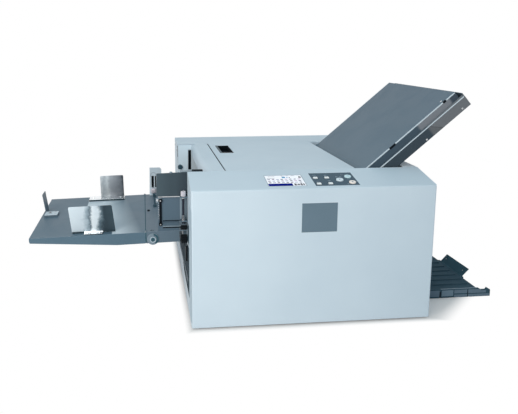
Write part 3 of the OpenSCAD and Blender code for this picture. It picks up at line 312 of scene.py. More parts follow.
# Distance along the first fold plate and depth under its face in mm, and a mask of its sides
plateAxes, given, out = effectGroup("plateAxes", [("Vector", "NodeSocketVector", None)],
                                    [("Along", "NodeSocketFloat"), ("Depth", "NodeSocketFloat"),
                                     ("Side", "NodeSocketFloat")])
fromFoot = (middle[0] - plateRise["x"], 0, -plateRise["z"])
millimetres = put(plateAxes, "ShaderNodeVectorMath", {0: given["Vector"], 1: (1000, 1000, 1000), 2: fromFoot},
                  operation="MULTIPLY_ADD").outputs[0]
slope = math.radians(plateRise["slope"])
for label, axis in (("Along", (math.cos(slope), 0, math.sin(slope))),
                    ("Depth", (math.sin(slope), 0, -math.cos(slope)))):
    plateAxes.links.new(put(plateAxes, "ShaderNodeVectorMath", {0: millimetres, 1: axis},
                            operation="DOT_PRODUCT").outputs["Value"], out[label])
geometry = put(plateAxes, "ShaderNodeNewGeometry")
faceNormal = put(plateAxes, "ShaderNodeSeparateXYZ", {0: geometry.outputs["Normal"]})
plateAxes.links.new(soft(plateAxes, maths(plateAxes, "ABSOLUTE", faceNormal.outputs["Y"]), 0.7, 0.1), out["Side"])


# Painted reflections and shade on the lid's sides (mm along it): a dark lower stretch, a warm middle and a dark
# end; its upper face darker toward the top end, and painted shade along a lip at its foot
lidPaintedReflections = {"warmFrom": 156.0, "darkFrom": 245.0, "border": 2.5, "lip": 1.5,
            "shadedLow": (62, 78, 90), "warm": (122, 126, 132), "dark": (62, 73, 84), "footShade": (62, 75, 84),
            "top": (83, 103, 118), "topShare": 0.6}


def lidPaintedLight(tree, where, tone):
    axes = useGroup(tree, plateAxes, Vector=where)
    along, look = axes["Along"], lidPaintedReflections
    side = blendColours(tree, soft(tree, along, look["warmFrom"], look["border"]), srgb(*look["shadedLow"]),
                        srgb(*look["warm"]))
    side = blendColours(tree, soft(tree, along, look["darkFrom"], look["border"]), side, srgb(*look["dark"]))
    toTop = rescale(tree, along, 0.0, float(plateRise["length"]), 0.0, look["topShare"])
    tone = blendColours(tree, toTop, tone, srgb(*look["top"]))
    # Painted shade at the lid's foot
    lip = maths(tree, "SUBTRACT", 1.0, soft(tree, along, look["lip"], look["lip"]))
    tone = blendColours(tree, lip, tone, srgb(*look["footShade"]))
    return blendColours(tree, axes["Side"], tone, side)


# The same painted reflections and shade on the tray's sides, where a slanting crease parts the warm stretch (mm)
trayPaintedReflections = {"crease": 154.0, "border": 0.8, "creaseWidth": 1.1, "creaseEdge": 0.5, "creaseShare": 0.7,
             "warmFrom": 171.0, "warmBorder": 3.0, "shadedLow": (54, 66, 75), "warmLow": (98, 101, 104),
             "warmHigh": (110, 113, 117), "line": (70, 72, 75)}


def trayPaintedLight(tree, where, tone):
    axes = useGroup(tree, plateAxes, Vector=where)
    look = trayPaintedReflections
    slant = maths(tree, "SUBTRACT", axes["Along"], axes["Depth"])
    warm = blendColours(tree, soft(tree, slant, look["crease"], look["border"]), srgb(*look["warmLow"]),
                        srgb(*look["warmHigh"]))
    fromCrease = maths(tree, "ABSOLUTE", maths(tree, "SUBTRACT", slant, look["crease"]))
    crease = maths(tree, "SUBTRACT", 1.0, soft(tree, fromCrease, look["creaseWidth"], look["creaseEdge"]))
    warm = blendColours(tree, maths(tree, "MULTIPLY", crease, look["creaseShare"]), warm, srgb(*look["line"]))
    side = blendColours(tree, soft(tree, axes["Along"], look["warmFrom"], look["warmBorder"]),
                        srgb(*look["shadedLow"]), warm)
    return blendColours(tree, axes["Side"], tone, side)


# Painted light and shade, lighter toward the shield's left end and darker toward its right: X from and to in
# metres, share there, colour
shieldPaintedShading = (((-0.245, -0.215), (0.6, 0.0), (74, 90, 98)), ((-0.205, -0.181), (0.0, 0.8), (44, 54, 63)))


def shieldPaintedLight(tree, where, tone):
    x = put(tree, "ShaderNodeSeparateXYZ", {0: where}).outputs["X"]
    for span, share, colour in shieldPaintedShading:
        tone = blendColours(tree, rescale(tree, x, *span, *share), tone, srgb(*colour))
    return tone


# Painted sheen and reflection on the upper face between the guides, with a hard left edge under the far guide's
# foot.
# Its right border runs along X = lean times Y plus start, and fades over a width (metres).
tablePaintedSheen = {"lean": -0.124, "start": -0.3124, "fade": (-0.046, 0.014), "edgeY": (-0.167, -0.166),
               "edgeX": (-0.340, -0.412), "edgeWidth": 0.0008, "share": 0.92, "colour": (214, 226, 233)}


def tableSheenOverlay(tree, where, tone):
    look = tablePaintedSheen
    split = put(tree, "ShaderNodeSeparateXYZ", {0: where}).outputs
    facingUp = put(tree, "ShaderNodeSeparateXYZ", {0: put(tree, "ShaderNodeNewGeometry").outputs["True Normal"]})
    border = maths(tree, "MULTIPLY_ADD", split["Y"], look["lean"], look["start"])
    within = rescale(tree, maths(tree, "SUBTRACT", split["X"], border), *look["fade"], 1.0, 0.0)
    leftEdge = rescale(tree, split["Y"], *look["edgeY"], *look["edgeX"])
    fromEdge = soft(tree, maths(tree, "SUBTRACT", split["X"], leftEdge), 0.0, look["edgeWidth"])
    within = maths(tree, "MULTIPLY", within, fromEdge)
    within = maths(tree, "MULTIPLY", within, soft(tree, facingUp.outputs["Z"], 0.8, 0.1))
    return blendColours(tree, maths(tree, "MULTIPLY", within, look["share"]), tone, srgb(*look["colour"]))


finishes = {}


# A new material, its tree and its Object coordinates
def startFinish(name):
    finishes[name], tree = newMaterial(name)
    return tree, put(tree, "ShaderNodeTexCoord").outputs["Object"]


def endFinish(tree, **values):
    shader = put(tree, "ShaderNodeBsdfPrincipled", values)
    put(tree, "ShaderNodeOutputMaterial", {"Surface": shader.outputs[0]})


def relief(tree, height, strength, distance=0.0002):
    return put(tree, "ShaderNodeBump", {"Height": height, "Strength": strength, "Distance": distance}).outputs[0]


overlays = {"lid": lidPaintedLight, "tray": trayPaintedLight, "shield": shieldPaintedLight, "table": tableSheenOverlay}
for name, given in coats.items():
    coat = {**coatUsual, **given}
    tree, where = startFinish(name)
    grain = useGroup(tree, coatGrain, Vector=where, Scale=float(coat["peelScale"]))
    edge = useGroup(tree, edgeWearAndHighlight, Vector=where, Radius=coat["edge"])["Mask"]
    smear = useGroup(tree, handling, Vector=where)["Mask"]
    wornAndHighlight = srgb(*coat["wornAndHighlight"])
    tone = blendColours(tree, grain["Cloud"], srgb(*coat["colour"]), srgb(*coat["shade"]))
    if "overlay" in coat:
        tone = overlays[coat["overlay"]](tree, where, tone)
    tone = blendColours(tree, maths(tree, "MULTIPLY", grain["Fleck"], 0.05), tone, wornAndHighlight)
    # Lighter edges: worn paint and a painted highlight
    tone = blendColours(tree, maths(tree, "MULTIPLY", edge, coat["edgeShare"]), tone, wornAndHighlight)
    rough = maths(tree, "MULTIPLY_ADD", smear, 0.05, coat["rough"] - 0.02)
    endFinish(tree, **{"Base Color": tone, "Roughness": rough, "Specular IOR Level": coat["gloss"],
                       "Normal": relief(tree, grain["Height"], coat["peel"])})

# Bare metals. stretch sets the direction of the drawn lines.
metalUsual = {"lines": 0.1}
metals = {
    "brightSteel": {"colour": (205, 208, 212), "shade": (170, 174, 180), "rough": 0.28, "stretch": (900, 30, 900),
                    "lines": 0.12},
    "groundSteel": {"colour": (176, 178, 181), "shade": (140, 143, 148), "rough": 0.34, "stretch": (600, 40, 600),
                    "lines": 0.2},
    "zincScrew": {"colour": (214, 216, 218), "shade": (168, 172, 176), "rough": 0.26, "stretch": (700, 700, 700),
                  "lines": 0.08},
    "brownRod": {"colour": (58, 62, 72), "shade": (36, 40, 50), "rough": 0.42, "stretch": (900, 900, 30)},
    "pinkSilver": {"colour": (214, 213, 220), "shade": (172, 171, 179), "rough": 0.36, "stretch": (300, 300, 300)},
    "brightFoot": {"colour": (246, 249, 251), "shade": (232, 238, 242), "rough": 0.24, "stretch": (30, 700, 700),
                   "lines": 0.08},
    "brassPin": {"colour": (206, 176, 110), "shade": (170, 138, 76), "rough": 0.3, "stretch": (500, 500, 500)},
}
for name, given in metals.items():
    metal = {**metalUsual, **given}
    tree, where = startFinish(name)
    lines = useGroup(tree, brushLines, Vector=where, Stretch=metal["stretch"])
    smear = useGroup(tree, handling, Vector=where, Scale=30.0)["Mask"]
    tone = blendColours(tree, lines["Streak"], srgb(*metal["colour"]), srgb(*metal["shade"]))
    rough = maths(tree, "MULTIPLY_ADD", smear, 0.08, metal["rough"])
    endFinish(tree, **{"Base Color": tone, "Roughness": rough, "Metallic": 1.0,
                       "Normal": relief(tree, lines["Height"], metal["lines"], 0.0001)})

# Polished guides with painted reflections: a cloudy painted sheen that runs along X, given as (place along the
# guide, colour), and painted shade darker toward the foot, over a height in metres
guideFoot = (0.182, 0.236)
paintedGuideSheens = {
    "nearGuideSteelPaintedSheen": {"left": -0.4256, "right": -0.3336, "cloud": 42.0, "warp": 0.07, "foot": 0.1, "stops": (
        (0.0, (206, 220, 228)), (0.26, (196, 210, 219)), (0.36, (150, 168, 179)),
        (0.43, (92, 110, 121)), (0.48, (214, 225, 231)), (0.58, (200, 213, 221)),
        (0.67, (84, 104, 115)), (0.75, (36, 54, 64)), (1.0, (48, 68, 78)))},
    "farGuideSteelPaintedSheen": {"left": -0.384, "right": -0.324, "cloud": 60.0, "warp": 0.10, "foot": 0.6, "stops": (
        (0.0, (226, 233, 237)), (0.14, (186, 196, 203)), (0.30, (222, 230, 234)),
        (0.42, (178, 185, 192)), (0.75, (142, 148, 156)), (0.93, (112, 119, 127)),
        (1.0, (64, 72, 80)))},
}
for name, guide in paintedGuideSheens.items():
    tree, where = startFinish(name)
    split = put(tree, "ShaderNodeSeparateXYZ", {0: where})
    along = rescale(tree, split.outputs["X"], guide["left"], guide["right"], 0.0, 1.0)
    warp = put(tree, "ShaderNodeTexNoise", {"Vector": where, "Scale": guide["cloud"], "Detail": 6.0,
                                            "Roughness": 0.66})
    along = maths(tree, "ADD", along, rescale(tree, warp.outputs["Fac"], 0.3, 0.7, -guide["warp"], guide["warp"]))
    ramp = put(tree, "ShaderNodeValToRGB", {"Fac": along})
    stops = ramp.color_ramp.elements
    stops.remove(stops[1])
    stops[0].position, stops[0].color = guide["stops"][0][0], srgb(*guide["stops"][0][1])
    for at, colour in guide["stops"][1:]:
        stops.new(at).color = srgb(*colour)
    # Painted shade toward the guide's foot
    low = rescale(tree, split.outputs["Z"], *guideFoot, guide["foot"], 0.0)
    tone = blendColours(tree, low, ramp.outputs["Color"], (0.03, 0.04, 0.05, 1))
    smear = useGroup(tree, handling, Vector=where, Scale=60.0)["Mask"]
    endFinish(tree, **{"Base Color": tone, "Roughness": rescale(tree, smear, 0.0, 1.0, 0.34, 0.46),
                       "Metallic": 0.25, "Specular IOR Level": 0.3})

# Plastics, rubbers and inks, as far as they differ from the usual one
plasticUsual = {"rough": 0.32, "grain": 0.1, "scale": 1400, "gloss": 0.4, "glow": 0.0}
plastics = {
    "blackAbs": {"colour": (19, 26, 31), "shade": (13, 19, 24), "rough": 0.46, "grain": 0.25, "gloss": 0.1},
    "greyAbs": {"colour": (166, 182, 193), "shade": (156, 172, 183), "rough": 0.4, "grain": 0.2},
    "deepBlack": {"colour": (18, 25, 31), "shade": (12, 18, 23), "rough": 0.8, "grain": 0.3, "scale": 900,
                  "gloss": 0.06},
    # Painted shade, for the dark strips under the guides
    "darkShadeStrip": {"colour": (56, 72, 80), "shade": (44, 58, 66), "rough": 0.95, "grain": 1.0, "scale": 600,
                 "gloss": 0.1},
    "inkWhite": {"colour": (228, 231, 232), "shade": (216, 220, 222), "rough": 0.5, "gloss": 0.3},
    "inkSlate": {"colour": (124, 142, 154), "shade": (116, 134, 146), "rough": 0.5, "gloss": 0.3},
    "inkGrey": {"colour": (186, 188, 206), "shade": (174, 176, 196), "rough": 0.25, "grain": 0.0},
    "inkPink": {"colour": (226, 190, 218), "shade": (212, 178, 208), "rough": 0.25, "grain": 0.0},
    "inkNavy": {"colour": (18, 36, 140), "shade": (14, 30, 126), "rough": 0.8, "grain": 0.0, "gloss": 0.02},
    "inkTeal": {"colour": (48, 156, 200), "shade": (38, 140, 188), "rough": 0.25, "grain": 0.0},
    "inkBlack": {"colour": (30, 30, 52), "shade": (24, 24, 44), "rough": 0.25, "grain": 0.0},
    "matRubber": {"colour": (40, 41, 43), "shade": (26, 27, 29), "rough": 0.75, "grain": 0.5, "scale": 900,
                  "gloss": 0.3},
    "drumRubber": {"colour": (92, 94, 97), "shade": (74, 76, 79), "rough": 0.8, "grain": 0.6, "scale": 700,
                   "gloss": 0.3},
    "gearAcetal": {"colour": (226, 221, 205), "shade": (208, 202, 184), "rough": 0.38, "scale": 900, "gloss": 0.5},
    "keyWhite": {"colour": (250, 252, 253), "shade": (240, 245, 247), "grain": 0.08, "scale": 1200, "gloss": 0.5},
    "keyPale": {"colour": (226, 239, 246), "shade": (214, 230, 239), "grain": 0.08, "scale": 1200, "gloss": 0.5},
    "keyCyan": {"colour": (206, 234, 240), "shade": (194, 226, 234), "grain": 0.08, "scale": 1200, "gloss": 0.5},
    "keyCream": {"colour": (250, 240, 232), "shade": (242, 231, 222), "grain": 0.08, "scale": 1200, "gloss": 0.5},
    "screenWhite": {"colour": (254, 254, 255), "shade": (248, 248, 254), "rough": 0.3, "grain": 0.0, "scale": 900,
                    "gloss": 0.5, "glow": 0.16},
}
for name, given in plastics.items():
    plastic = {**plasticUsual, **given}
    tree, where = startFinish(name)
    grain = useGroup(tree, coatGrain, Vector=where, Scale=float(plastic["scale"]))
    smear = useGroup(tree, handling, Vector=where, Scale=40.0)["Mask"]
    tone = blendColours(tree, grain["Cloud"], srgb(*plastic["colour"]), srgb(*plastic["shade"]))
    rough = maths(tree, "MULTIPLY_ADD", smear, 0.07, plastic["rough"])
    endFinish(tree, **{"Base Color": tone, "Roughness": rough, "Specular IOR Level": plastic["gloss"],
                       "Normal": relief(tree, grain["Height"], plastic["grain"]),
                       "Emission Color": tone, "Emission Strength": plastic["glow"]})
print("finishes ready:", len(finishes))

# ---- pieces made over the CAD nodes: merged copies with softened edges


def softEdges(thing, width):
    bevel = thing.modifiers.new("softEdges", "BEVEL")
    bevel.width = width
    bevel.segments = 2
    bevel.limit_method = "ANGLE"
    bevel.angle_limit = math.radians(28)
    bevel.harden_normals = True
    bevel.use_clamp_overlap = True
    for face in thing.data.polygons:
        face.use_smooth = True


# CAD node, piece, finish, slot, edge radius in mm
dressed = [
    ("base_pan", "basePan", "paleCoat", "housing", 0.4),
    ("front_housing", "frontHousing", "paleCoat", "housing", 0.5),
    ("rear_housing", "rearHousing", "paleCoat", "housing", 0.8),
    ("front_frame", "frontFrame", "paleCoat", "housing", 0.4),
    ("rear_frame", "rearFrame", "paleCoat", "housing", 0.4),
    ("tie_bars", "tieBars", "groundSteel", "steel", 0.3),
    ("top_strip", "topStrip", "paleCoat", "housing", 0.5),
    ("right_cover", "rightCover", "paleCoat", "housing", 0.6),
    ("top_cover", "topCover", "paleCoat", "housing", 0.6),
    ("handle_cup", "handleCup", "deepBlack", "black_plastic", 0.4),
    ("hinge_pins", "hingePins", "brightSteel", "steel", 0.3),
    ("screen_case", "screenCase", "greyAbs", "black_plastic", 0.3),
    ("screen_glass", "screenGlass", "screenWhite", "screen", 0.15),
    ("key_panel", "keyPanel", "keypadCoat", "slate", 0.2),
    ("front_badge", "frontPlate", "badgeCoat", "slate", 0.2),
    ("power_inlet", "powerInlet", "blackAbs", "black_plastic", 0.3),
    ("switch_rocker", "switchRocker", "blackAbs", "black_plastic", 0.3),
    ("table_base", "tableBase", "slateCoat", "slate", 0.4),
    ("feed_table", "feedTable", "tableCoat", "slate", 0.5),
    ("near_guide", "nearGuide", "nearGuideSteelPaintedSheen", "guide_steel", 0.3),
    ("far_guide", "farGuide", "farGuideSteelPaintedSheen", "guide_steel", 0.3),
    ("tail_stop", "tailStop", "slateCoat", "slate", 0.3),
    ("head_plate", "headPlate", "headCoat", "slate", 0.3),
    ("head_shield", "headShield", "shieldCoat", "dark_slate", 0.4),
    ("far_bracket", "farBracket", "paleCoat", "housing", 0.3),
    ("feed_drum", "feedDrum", "drumRubber", "drum_rubber", 0.4),
    ("separator", "separatorPad", "matRubber", "rubber", 0.3),
    ("drive_motor", "driveMotor", "darkCoat", "dark_slate", 0.6),
    ("motor_pinion", "motorPinion", "brightSteel", "steel", 0.15),
    ("exit_roller", "exitRoller", "drumRubber", "drum_rubber", 0.4),
    ("exit_belt", "exitBelt", "matRubber", "rubber", 0.2),
    ("feet", "rubberFeet", "matRubber", "rubber", 0.4),
    ("plate_1_lid", "upperPlateLid", "plateLidCoat", "slate", 0.35),
    ("plate_1_tray", "upperPlateTray", "plateTrayCoat", "slate", 0.4),
    ("plate_1_stop", "upperPlateStop", "brightSteel", "steel", 0.3),
    ("plate_2_case", "lowerPlateCase", "caseShadeCoat", "stacker_slate", 0.4),
    ("plate_2_lever", "lowerPlateLever", "blackAbs", "black_plastic", 0.5),
    ("stacker_tray", "stackerTray", "tealCoat", "stacker_slate", 0.4),
    ("stacker_flap", "stackerFlap", "flapCoat", "slate", 0.3),
]
for i in range(1, 5):
    dressed.append((f"fold_roller_{i}", f"foldRoller{i}", "groundSteel", "roller_steel", 0.4))
    dressed.append((f"roller_gear_{i}", f"rollerGear{i}", "gearAcetal", "gear_plastic", 0.15))
# Centres of the dimples for the screws on the back panel, X and Z in mm, and their form in metres
dimples = [(x, z) for x in (18, 250, 482) for z in (20, 288)]
dimpleLook = {"back": 606.6, "inner": 0.0040, "outer": 0.0046, "depth": 0.0016}


def cutDimples(mesh):
    bm = bmesh.new()
    for x, z in dimples:
        bmesh.ops.create_cone(bm, cap_ends=True, segments=40, radius1=dimpleLook["inner"],
                              radius2=dimpleLook["outer"], depth=dimpleLook["depth"],
                              matrix=toRow @ Matrix.Translation((x, dimpleLook["back"], z))
                              @ Matrix.Scale(1000, 4) @ Matrix.Rotation(-math.pi / 2, 4, "X"))
    cutterMesh = bpy.data.meshes.new("dimpleCutter")
    bm.to_mesh(cutterMesh)
    bm.free()
    cutter = bpy.data.objects.new("dimpleCutter", cutterMesh)
    target = bpy.data.objects.new("dimpleTarget", mesh)
    for made in (cutter, target):
        scene.collection.objects.link(made)
    cut = target.modifiers.new("dimples", "BOOLEAN")
    cut.object = cutter
    cut.solver = "EXACT"
    bpy.context.view_layer.update()
    result = bpy.data.meshes.new_from_object(target.evaluated_get(bpy.context.evaluated_depsgraph_get()))
    for made in (cutter, target):
        bpy.data.objects.remove(made)
    return result


bodyOf = {n: b for b, members in frame["record"]["behaviour"]["bodies"].items() for n in members}
for node, name, finish, slot, edge in dressed:
    bm = bmesh.new()
    bm.from_mesh(nodes[node].data)
    bmesh.ops.remove_doubles(bm, verts=bm.verts, dist=0.00001)
    bmesh.ops.dissolve_limit(bm, angle_limit=math.radians(0.6), verts=bm.verts, edges=bm.edges)
    mesh = bpy.data.meshes.new(name)
    bm.to_mesh(mesh)
    bm.free()
    for layer in ("custom_normal", "sharp_edge", "sharp_face"):
        if layer in mesh.attributes:
            mesh.attributes.remove(mesh.attributes[layer])
    if node == "rear_housing":
        mesh = cutDimples(mesh)
    mesh.materials.clear()
    mesh.materials.append(finishes[finish])
    piece = bpy.data.objects.new(name, mesh)
    scene.collection.objects.link(piece)
    softEdges(piece, edge / 1000)
    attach(piece, bodyOf[node])
    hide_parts(node)
print("dressed nodes:", len(dressed))

# ---- building blocks for the small pieces, in the millimetres of a local frame

turnTo = {"up": Matrix(), "down": Matrix.Rotation(math.pi, 4, "X"),
          "front": Matrix.Rotation(math.pi / 2, 4, "X"), "back": Matrix.Rotation(-math.pi / 2, 4, "X"),
          "right": Matrix.Rotation(math.pi / 2, 4, "Y"), "left": Matrix.Rotation(-math.pi / 2, 4, "Y")}
# Turns an outline's points into (Y, Z) and its heights into X
sideOn = Matrix(((0, 0, 1, 0), (1, 0, 0, 0), (0, 1, 0, 0), (0, 0, 0, 1)))


# Local frame at a place, with its Z towards a side
def facing(place, side="up"):
    return Matrix.Translation(place) @ turnTo[side]


def roundShape(angle):
    return 1.0


def hexShape(angle):
    return math.cos(math.pi / 6) / math.cos(angle % (math.pi / 3) - math.pi / 6)


def crossShape(angle):
    fold = abs((angle + math.pi / 4) % (math.pi / 2) - math.pi / 4)
    return min(1 / math.cos(fold), 0.34 / max(math.sin(fold), 0.001))


def squareShape(angle):
    return (abs(math.cos(angle)) ** 9 + abs(math.sin(angle)) ** 9) ** (-1 / 9)


def fluteShape(count, depth):
    return lambda angle: 1 - depth * max(math.cos(count * angle), 0) ** 1.5


# Lofts rings of (radius, height, shape) along local Z. A radius of 0 closes an end.
def ringLoft(bm, rings, local=Matrix(), steps=24, closed=False):
    loops = []
    for radius, height, *shape in rings:
        form = shape[0] if shape else roundShape
        if radius == 0:
            loops.append([bm.verts.new(local @ Vector((0, 0, height)))])
            continue
        loops.append([])
        for i in range(steps):
            angle = 2 * math.pi * i / steps
            reach = radius * form(angle)
            corner = Vector((reach * math.cos(angle), reach * math.sin(angle), height))
            loops[-1].append(bm.verts.new(local @ corner))
    if closed:
        loops.append(loops[0])
    for low, high in zip(loops, loops[1:]):
        for i in range(steps):
            corners = [low[i % len(low)], low[(i + 1) % len(low)], high[(i + 1) % len(high)], high[i % len(high)]]
            bm.faces.new(list(dict.fromkeys(corners)))


def ringPlate(bm, inner, outer, low, high, local=Matrix(), steps=32):
    ringLoft(bm, [(inner, low), (outer, low), (outer, high), (inner, high)], local, steps, True)


def boxOutline(x0, x1, y0, y1, radius=0.0, steps=3):
    if radius == 0:
        return [(x0, y0), (x1, y0), (x1, y1), (x0, y1)]
    corners = [(x1 - radius, y0 + radius, -90), (x1 - radius, y1 - radius, 0), (x0 + radius, y1 - radius, 90),
               (x0 + radius, y0 + radius, 180)]
    return [(x + radius * math.cos(math.radians(start + 90 * i / steps)),
             y + radius * math.sin(math.radians(start + 90 * i / steps)))
            for x, y, start in corners for i in range(steps + 1)]


# Closed solid from an outline in the local XY plane, between two heights
def prism(bm, outline, low, high, local=Matrix()):
    face = bm.faces.new([bm.verts.new(local @ Vector((x, y, low))) for x, y in outline])
    raised = bmesh.ops.extrude_face_region(bm, geom=[face])["geom"]
    lift = local.to_3x3() @ Vector((0, 0, high - low))
    bmesh.ops.translate(bm, vec=lift, verts=[v for v in raised if isinstance(v, bmesh.types.BMVert)])


# Round bar or wire along a path
def tube(bm, points, radius, sides=10, local=Matrix()):
    path = [Vector(p) for p in points]
    across = None
    loops = []
    for i, point in enumerate(path):
        along = (path[min(i + 1, len(path) - 1)] - path[max(i - 1, 0)]).normalized()
        across = across or along.orthogonal()
        across = (across - along * across.dot(along)).normalized()
        beside = along.cross(across)
        turns = [2 * math.pi * k / sides for k in range(sides)]
        loops.append([bm.verts.new(local @ (point + radius * (math.cos(a) * across + math.sin(a) * beside)))
                      for a in turns])
    for low, high in zip(loops, loops[1:]):
        for i in range(sides):
            bm.faces.new((low[i], low[(i + 1) % sides], high[(i + 1) % sides], high[i]))
    bm.faces.new(loops[0])
    bm.faces.new(loops[-1])


def coil(radius, low, high, turns, steps=14):
    count = turns * steps
    return [(radius * math.cos(2 * math.pi * i / steps), radius * math.sin(2 * math.pi * i / steps),
             low + (high - low) * i / count) for i in range(count + 1)]


# Pan head with a cross recess, its seat at the local origin
def panScrew(bm, local, radius=2.6, height=1.4):
    ringLoft(bm, [(0, -0.1), (radius, -0.1), (radius, 0.4 * height), (0.9 * radius, 0.78 * height),
                  (0.66 * radius, height), (0.5 * radius, height, crossShape),
                  (0.4 * radius, 0.4 * height, crossShape), (0, 0.35 * height)], local, 32)


# Socket cap screw on a thin washer
def socketScrew(bm, local, radius=3.0, height=2.6):
    ringLoft(bm, [(0, -0.1), (1.5 * radius, -0.1), (1.5 * radius, 0.5), (radius, 0.5), (radius, height - 0.4),
                  (radius - 0.4, height), (0.6 * radius, height, hexShape), (0.6 * radius, 0.9, hexShape),
                  (0, 0.7)], local, 24)


# Builds a piece in a frame and puts it into the scene, riding on a body. stands names the nodes it replaces.
def newPiece(name, place, body, finish, build, stands=(), edge=None):
    bm = bmesh.new()
    build(bm)
    bmesh.ops.transform(bm, matrix=place, verts=bm.verts)
    bmesh.ops.recalc_face_normals(bm, faces=bm.faces)
    mesh = bpy.data.meshes.new(name)
    bm.to_mesh(mesh)
    bm.free()
    mesh.materials.append(finishes[finish])
    piece = bpy.data.objects.new(name, mesh)
    scene.collection.objects.link(piece)
    if edge:
        softEdges(piece, edge)
    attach(piece, body)
    if stands:
        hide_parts(*stands)


# Many boxes in one piece, each with its low and high corners
def boxes(*corners):
    def build(bm):
        for low, high in corners:
            prism(bm, boxOutline(low[0], high[0], low[1], high[1]), low[2], high[2])
    return build


# Upright plates in one piece, each given as X and Y from and to, corner radius, and Z from and to
def plates(bm, parts):
    for left, right, near, far, radius, low, high in parts.values():
        prism(bm, boxOutline(left, right, near, far, radius), low, high)


# ---- control panel

screenLook = {"glass": (157, 233, 16.5, 70.5), "top": -0.2, "ink": 0.06, "cells": 8, "rows": (50.5, 42.0, 34.0),
              "pitch": 9.0}


# Printed marks, each a thin layer of ink on an outline
def inkMarks(outlines, low, thickness):
    def build(bm):
        for outline in outlines:
            prism(bm, outline, low, low + thickness)
    return build


def flatInk(*outlines):
    return inkMarks(outlines, screenLook["top"], screenLook["ink"])


def disc(x, y, radius, steps=20):
    return [(x + radius * math.cos(2 * math.pi * i / steps), y + radius * math.sin(2 * math.pi * i / steps))
            for i in range(steps)]


def band(x, y, radius, width, start, end, steps=14):
    outer = [(x + radius * math.cos(math.radians(start + (end - start) * i / steps)),
              y + radius * math.sin(math.radians(start + (end - start) * i / steps))) for i in range(steps + 1)]
    inner = [(x + (radius - width) * (px - x) / radius, y + (radius - width) * (py - y) / radius)
             for px, py in reversed(outer)]
    return outer + inner


cellStart = screenLook["glass"][0] + 2.5
greyCells, pinkCells, darkCells = [], [], []
for j, y in enumerate(screenLook["rows"]):
    for i in range(screenLook["cells"]):
        x = cellStart + i * screenLook["pitch"]
        (greyCells, pinkCells)[(i + j) % 3 == 1].append(boxOutline(x, x + 6.0, y - 2.0, y + 2.0, 0.7))
        if (2 * i + j) % 5 < 3:
            darkCells.append(boxOutline(x + 1.0, x + 4.8, y - 1.6, y + 1.6, 0.4))
newPiece("screenCells", slopeFrame, "machine", "inkGrey", flatInk(*greyCells))
newPiece("screenTiles", slopeFrame, "machine", "inkPink", flatInk(*pinkCells))
newPiece("screenBar", slopeFrame, "machine", "inkNavy",
         flatInk(boxOutline(157.2, 206.5, 16.7, 28.8, 0.4)))
newPiece("screenTeal", slopeFrame, "machine", "inkTeal",
         flatInk(boxOutline(191.6, 198.6, 56.6, 64.6, 1.2), [(200.4, 57.5), (204.4, 57.5), (202.4, 62.0)]))
iconInk = [boxOutline(209.6, 214.4, 18.0, 27.4, 0.8), disc(218.8, 22.6, 3.4),
           boxOutline(222.8, 226.4, 17.6, 28.0, 0.5), [(227.8, 17.6), (232.8, 22.8), (227.8, 28.0)],
           boxOutline(226.2, 231.4, 56.4, 64.0, 0.8)]
topLines = [boxOutline(160, 176, 56.6, 58.2, 0.4), boxOutline(163, 178, 66.2, 67.1, 0.3),
            boxOutline(190, 194.5, 67.6, 68.6, 0.4), boxOutline(202, 206, 67.6, 68.6, 0.4),
            boxOutline(212, 219, 67.6, 68.6, 0.4), boxOutline(205.8, 208.6, 57.6, 60.6, 0.5)]
newPiece("screenIcons", slopeFrame, "machine", "inkBlack", flatInk(*iconInk, *darkCells, *topLines))

# Rim of the handle cup: a ledge along its left side, and a dark lip with studs along the near side
handleLook = {"lip": (102.6, 130.7, 327.3, 338.0, 0.8, 304.2, 306.2), "studs": 4, "firstStud": (106, 333, 306.2),
              "studPitch": 7}
newPiece("handleRim", toRow, "cover", "rimCoat",
         boxes(((97.3, 327.3, 304.2), (102.6, 444.7, 306.4))), edge=0.0005)


def handleLip(bm):
    plates(bm, {"lip": handleLook["lip"]})
    x, y, z = handleLook["firstStud"]
    for i in range(handleLook["studs"]):
        ringLoft(bm, [(0, -0.1), (1.6, -0.1), (1.3, 0.6), (0, 0.8)],
                 facing((x + handleLook["studPitch"] * i, y, z)), 16)


newPiece("handleLip", toRow, "cover", "blackAbs", handleLip, edge=0.0003)

# Key caps, from the key panel's corner. The round caps are given as (x, y, radius).
keypadFrame = slopeFrame @ Matrix.Translation((251.5, 11.5, 0))
keyLook = {"squares": ((9.5, 43), (33.5, 43), (9.5, 12.5), (33.5, 12.5)), "squareScale": (0.94, 0.8, 1, 1),
           "start": (56.5, 27, 7.4), "blue": (78, 43, 7), "cream": (79, 13, 7), "markLow": 1.98, "print": 0.07}


def squareCap(x, y):
    def build(bm):
        ringLoft(bm, [(0, -8.2), (6.2, -8.2, squareShape), (6.2, -2.3, squareShape), (4.8, -2.3, squareShape),
                      (4.8, 0.2, squareShape), (4.6, 0.46, squareShape), (4.1, 0.56, squareShape),
                      (3.2, 0.5, squareShape), (0, 0.46)],
                 facing((x, y, 0)) @ Matrix.Diagonal(keyLook["squareScale"]), 64)
    return build


def roundCap(x, y, radius):
    def build(bm):
        ringLoft(bm, [(0, -8.2), (radius + 1, -8.2), (radius + 1, -2.3), (radius, -2.3), (radius, 1.7),
                      (radius - 0.3, 2.2), (radius - 0.9, 2.4), (radius - 1.6, 2.35), (radius - 2.3, 2.1),
                      (0.4 * radius, 2.0), (0, keyLook["markLow"])], facing((x, y, 0)), 56)
    return build


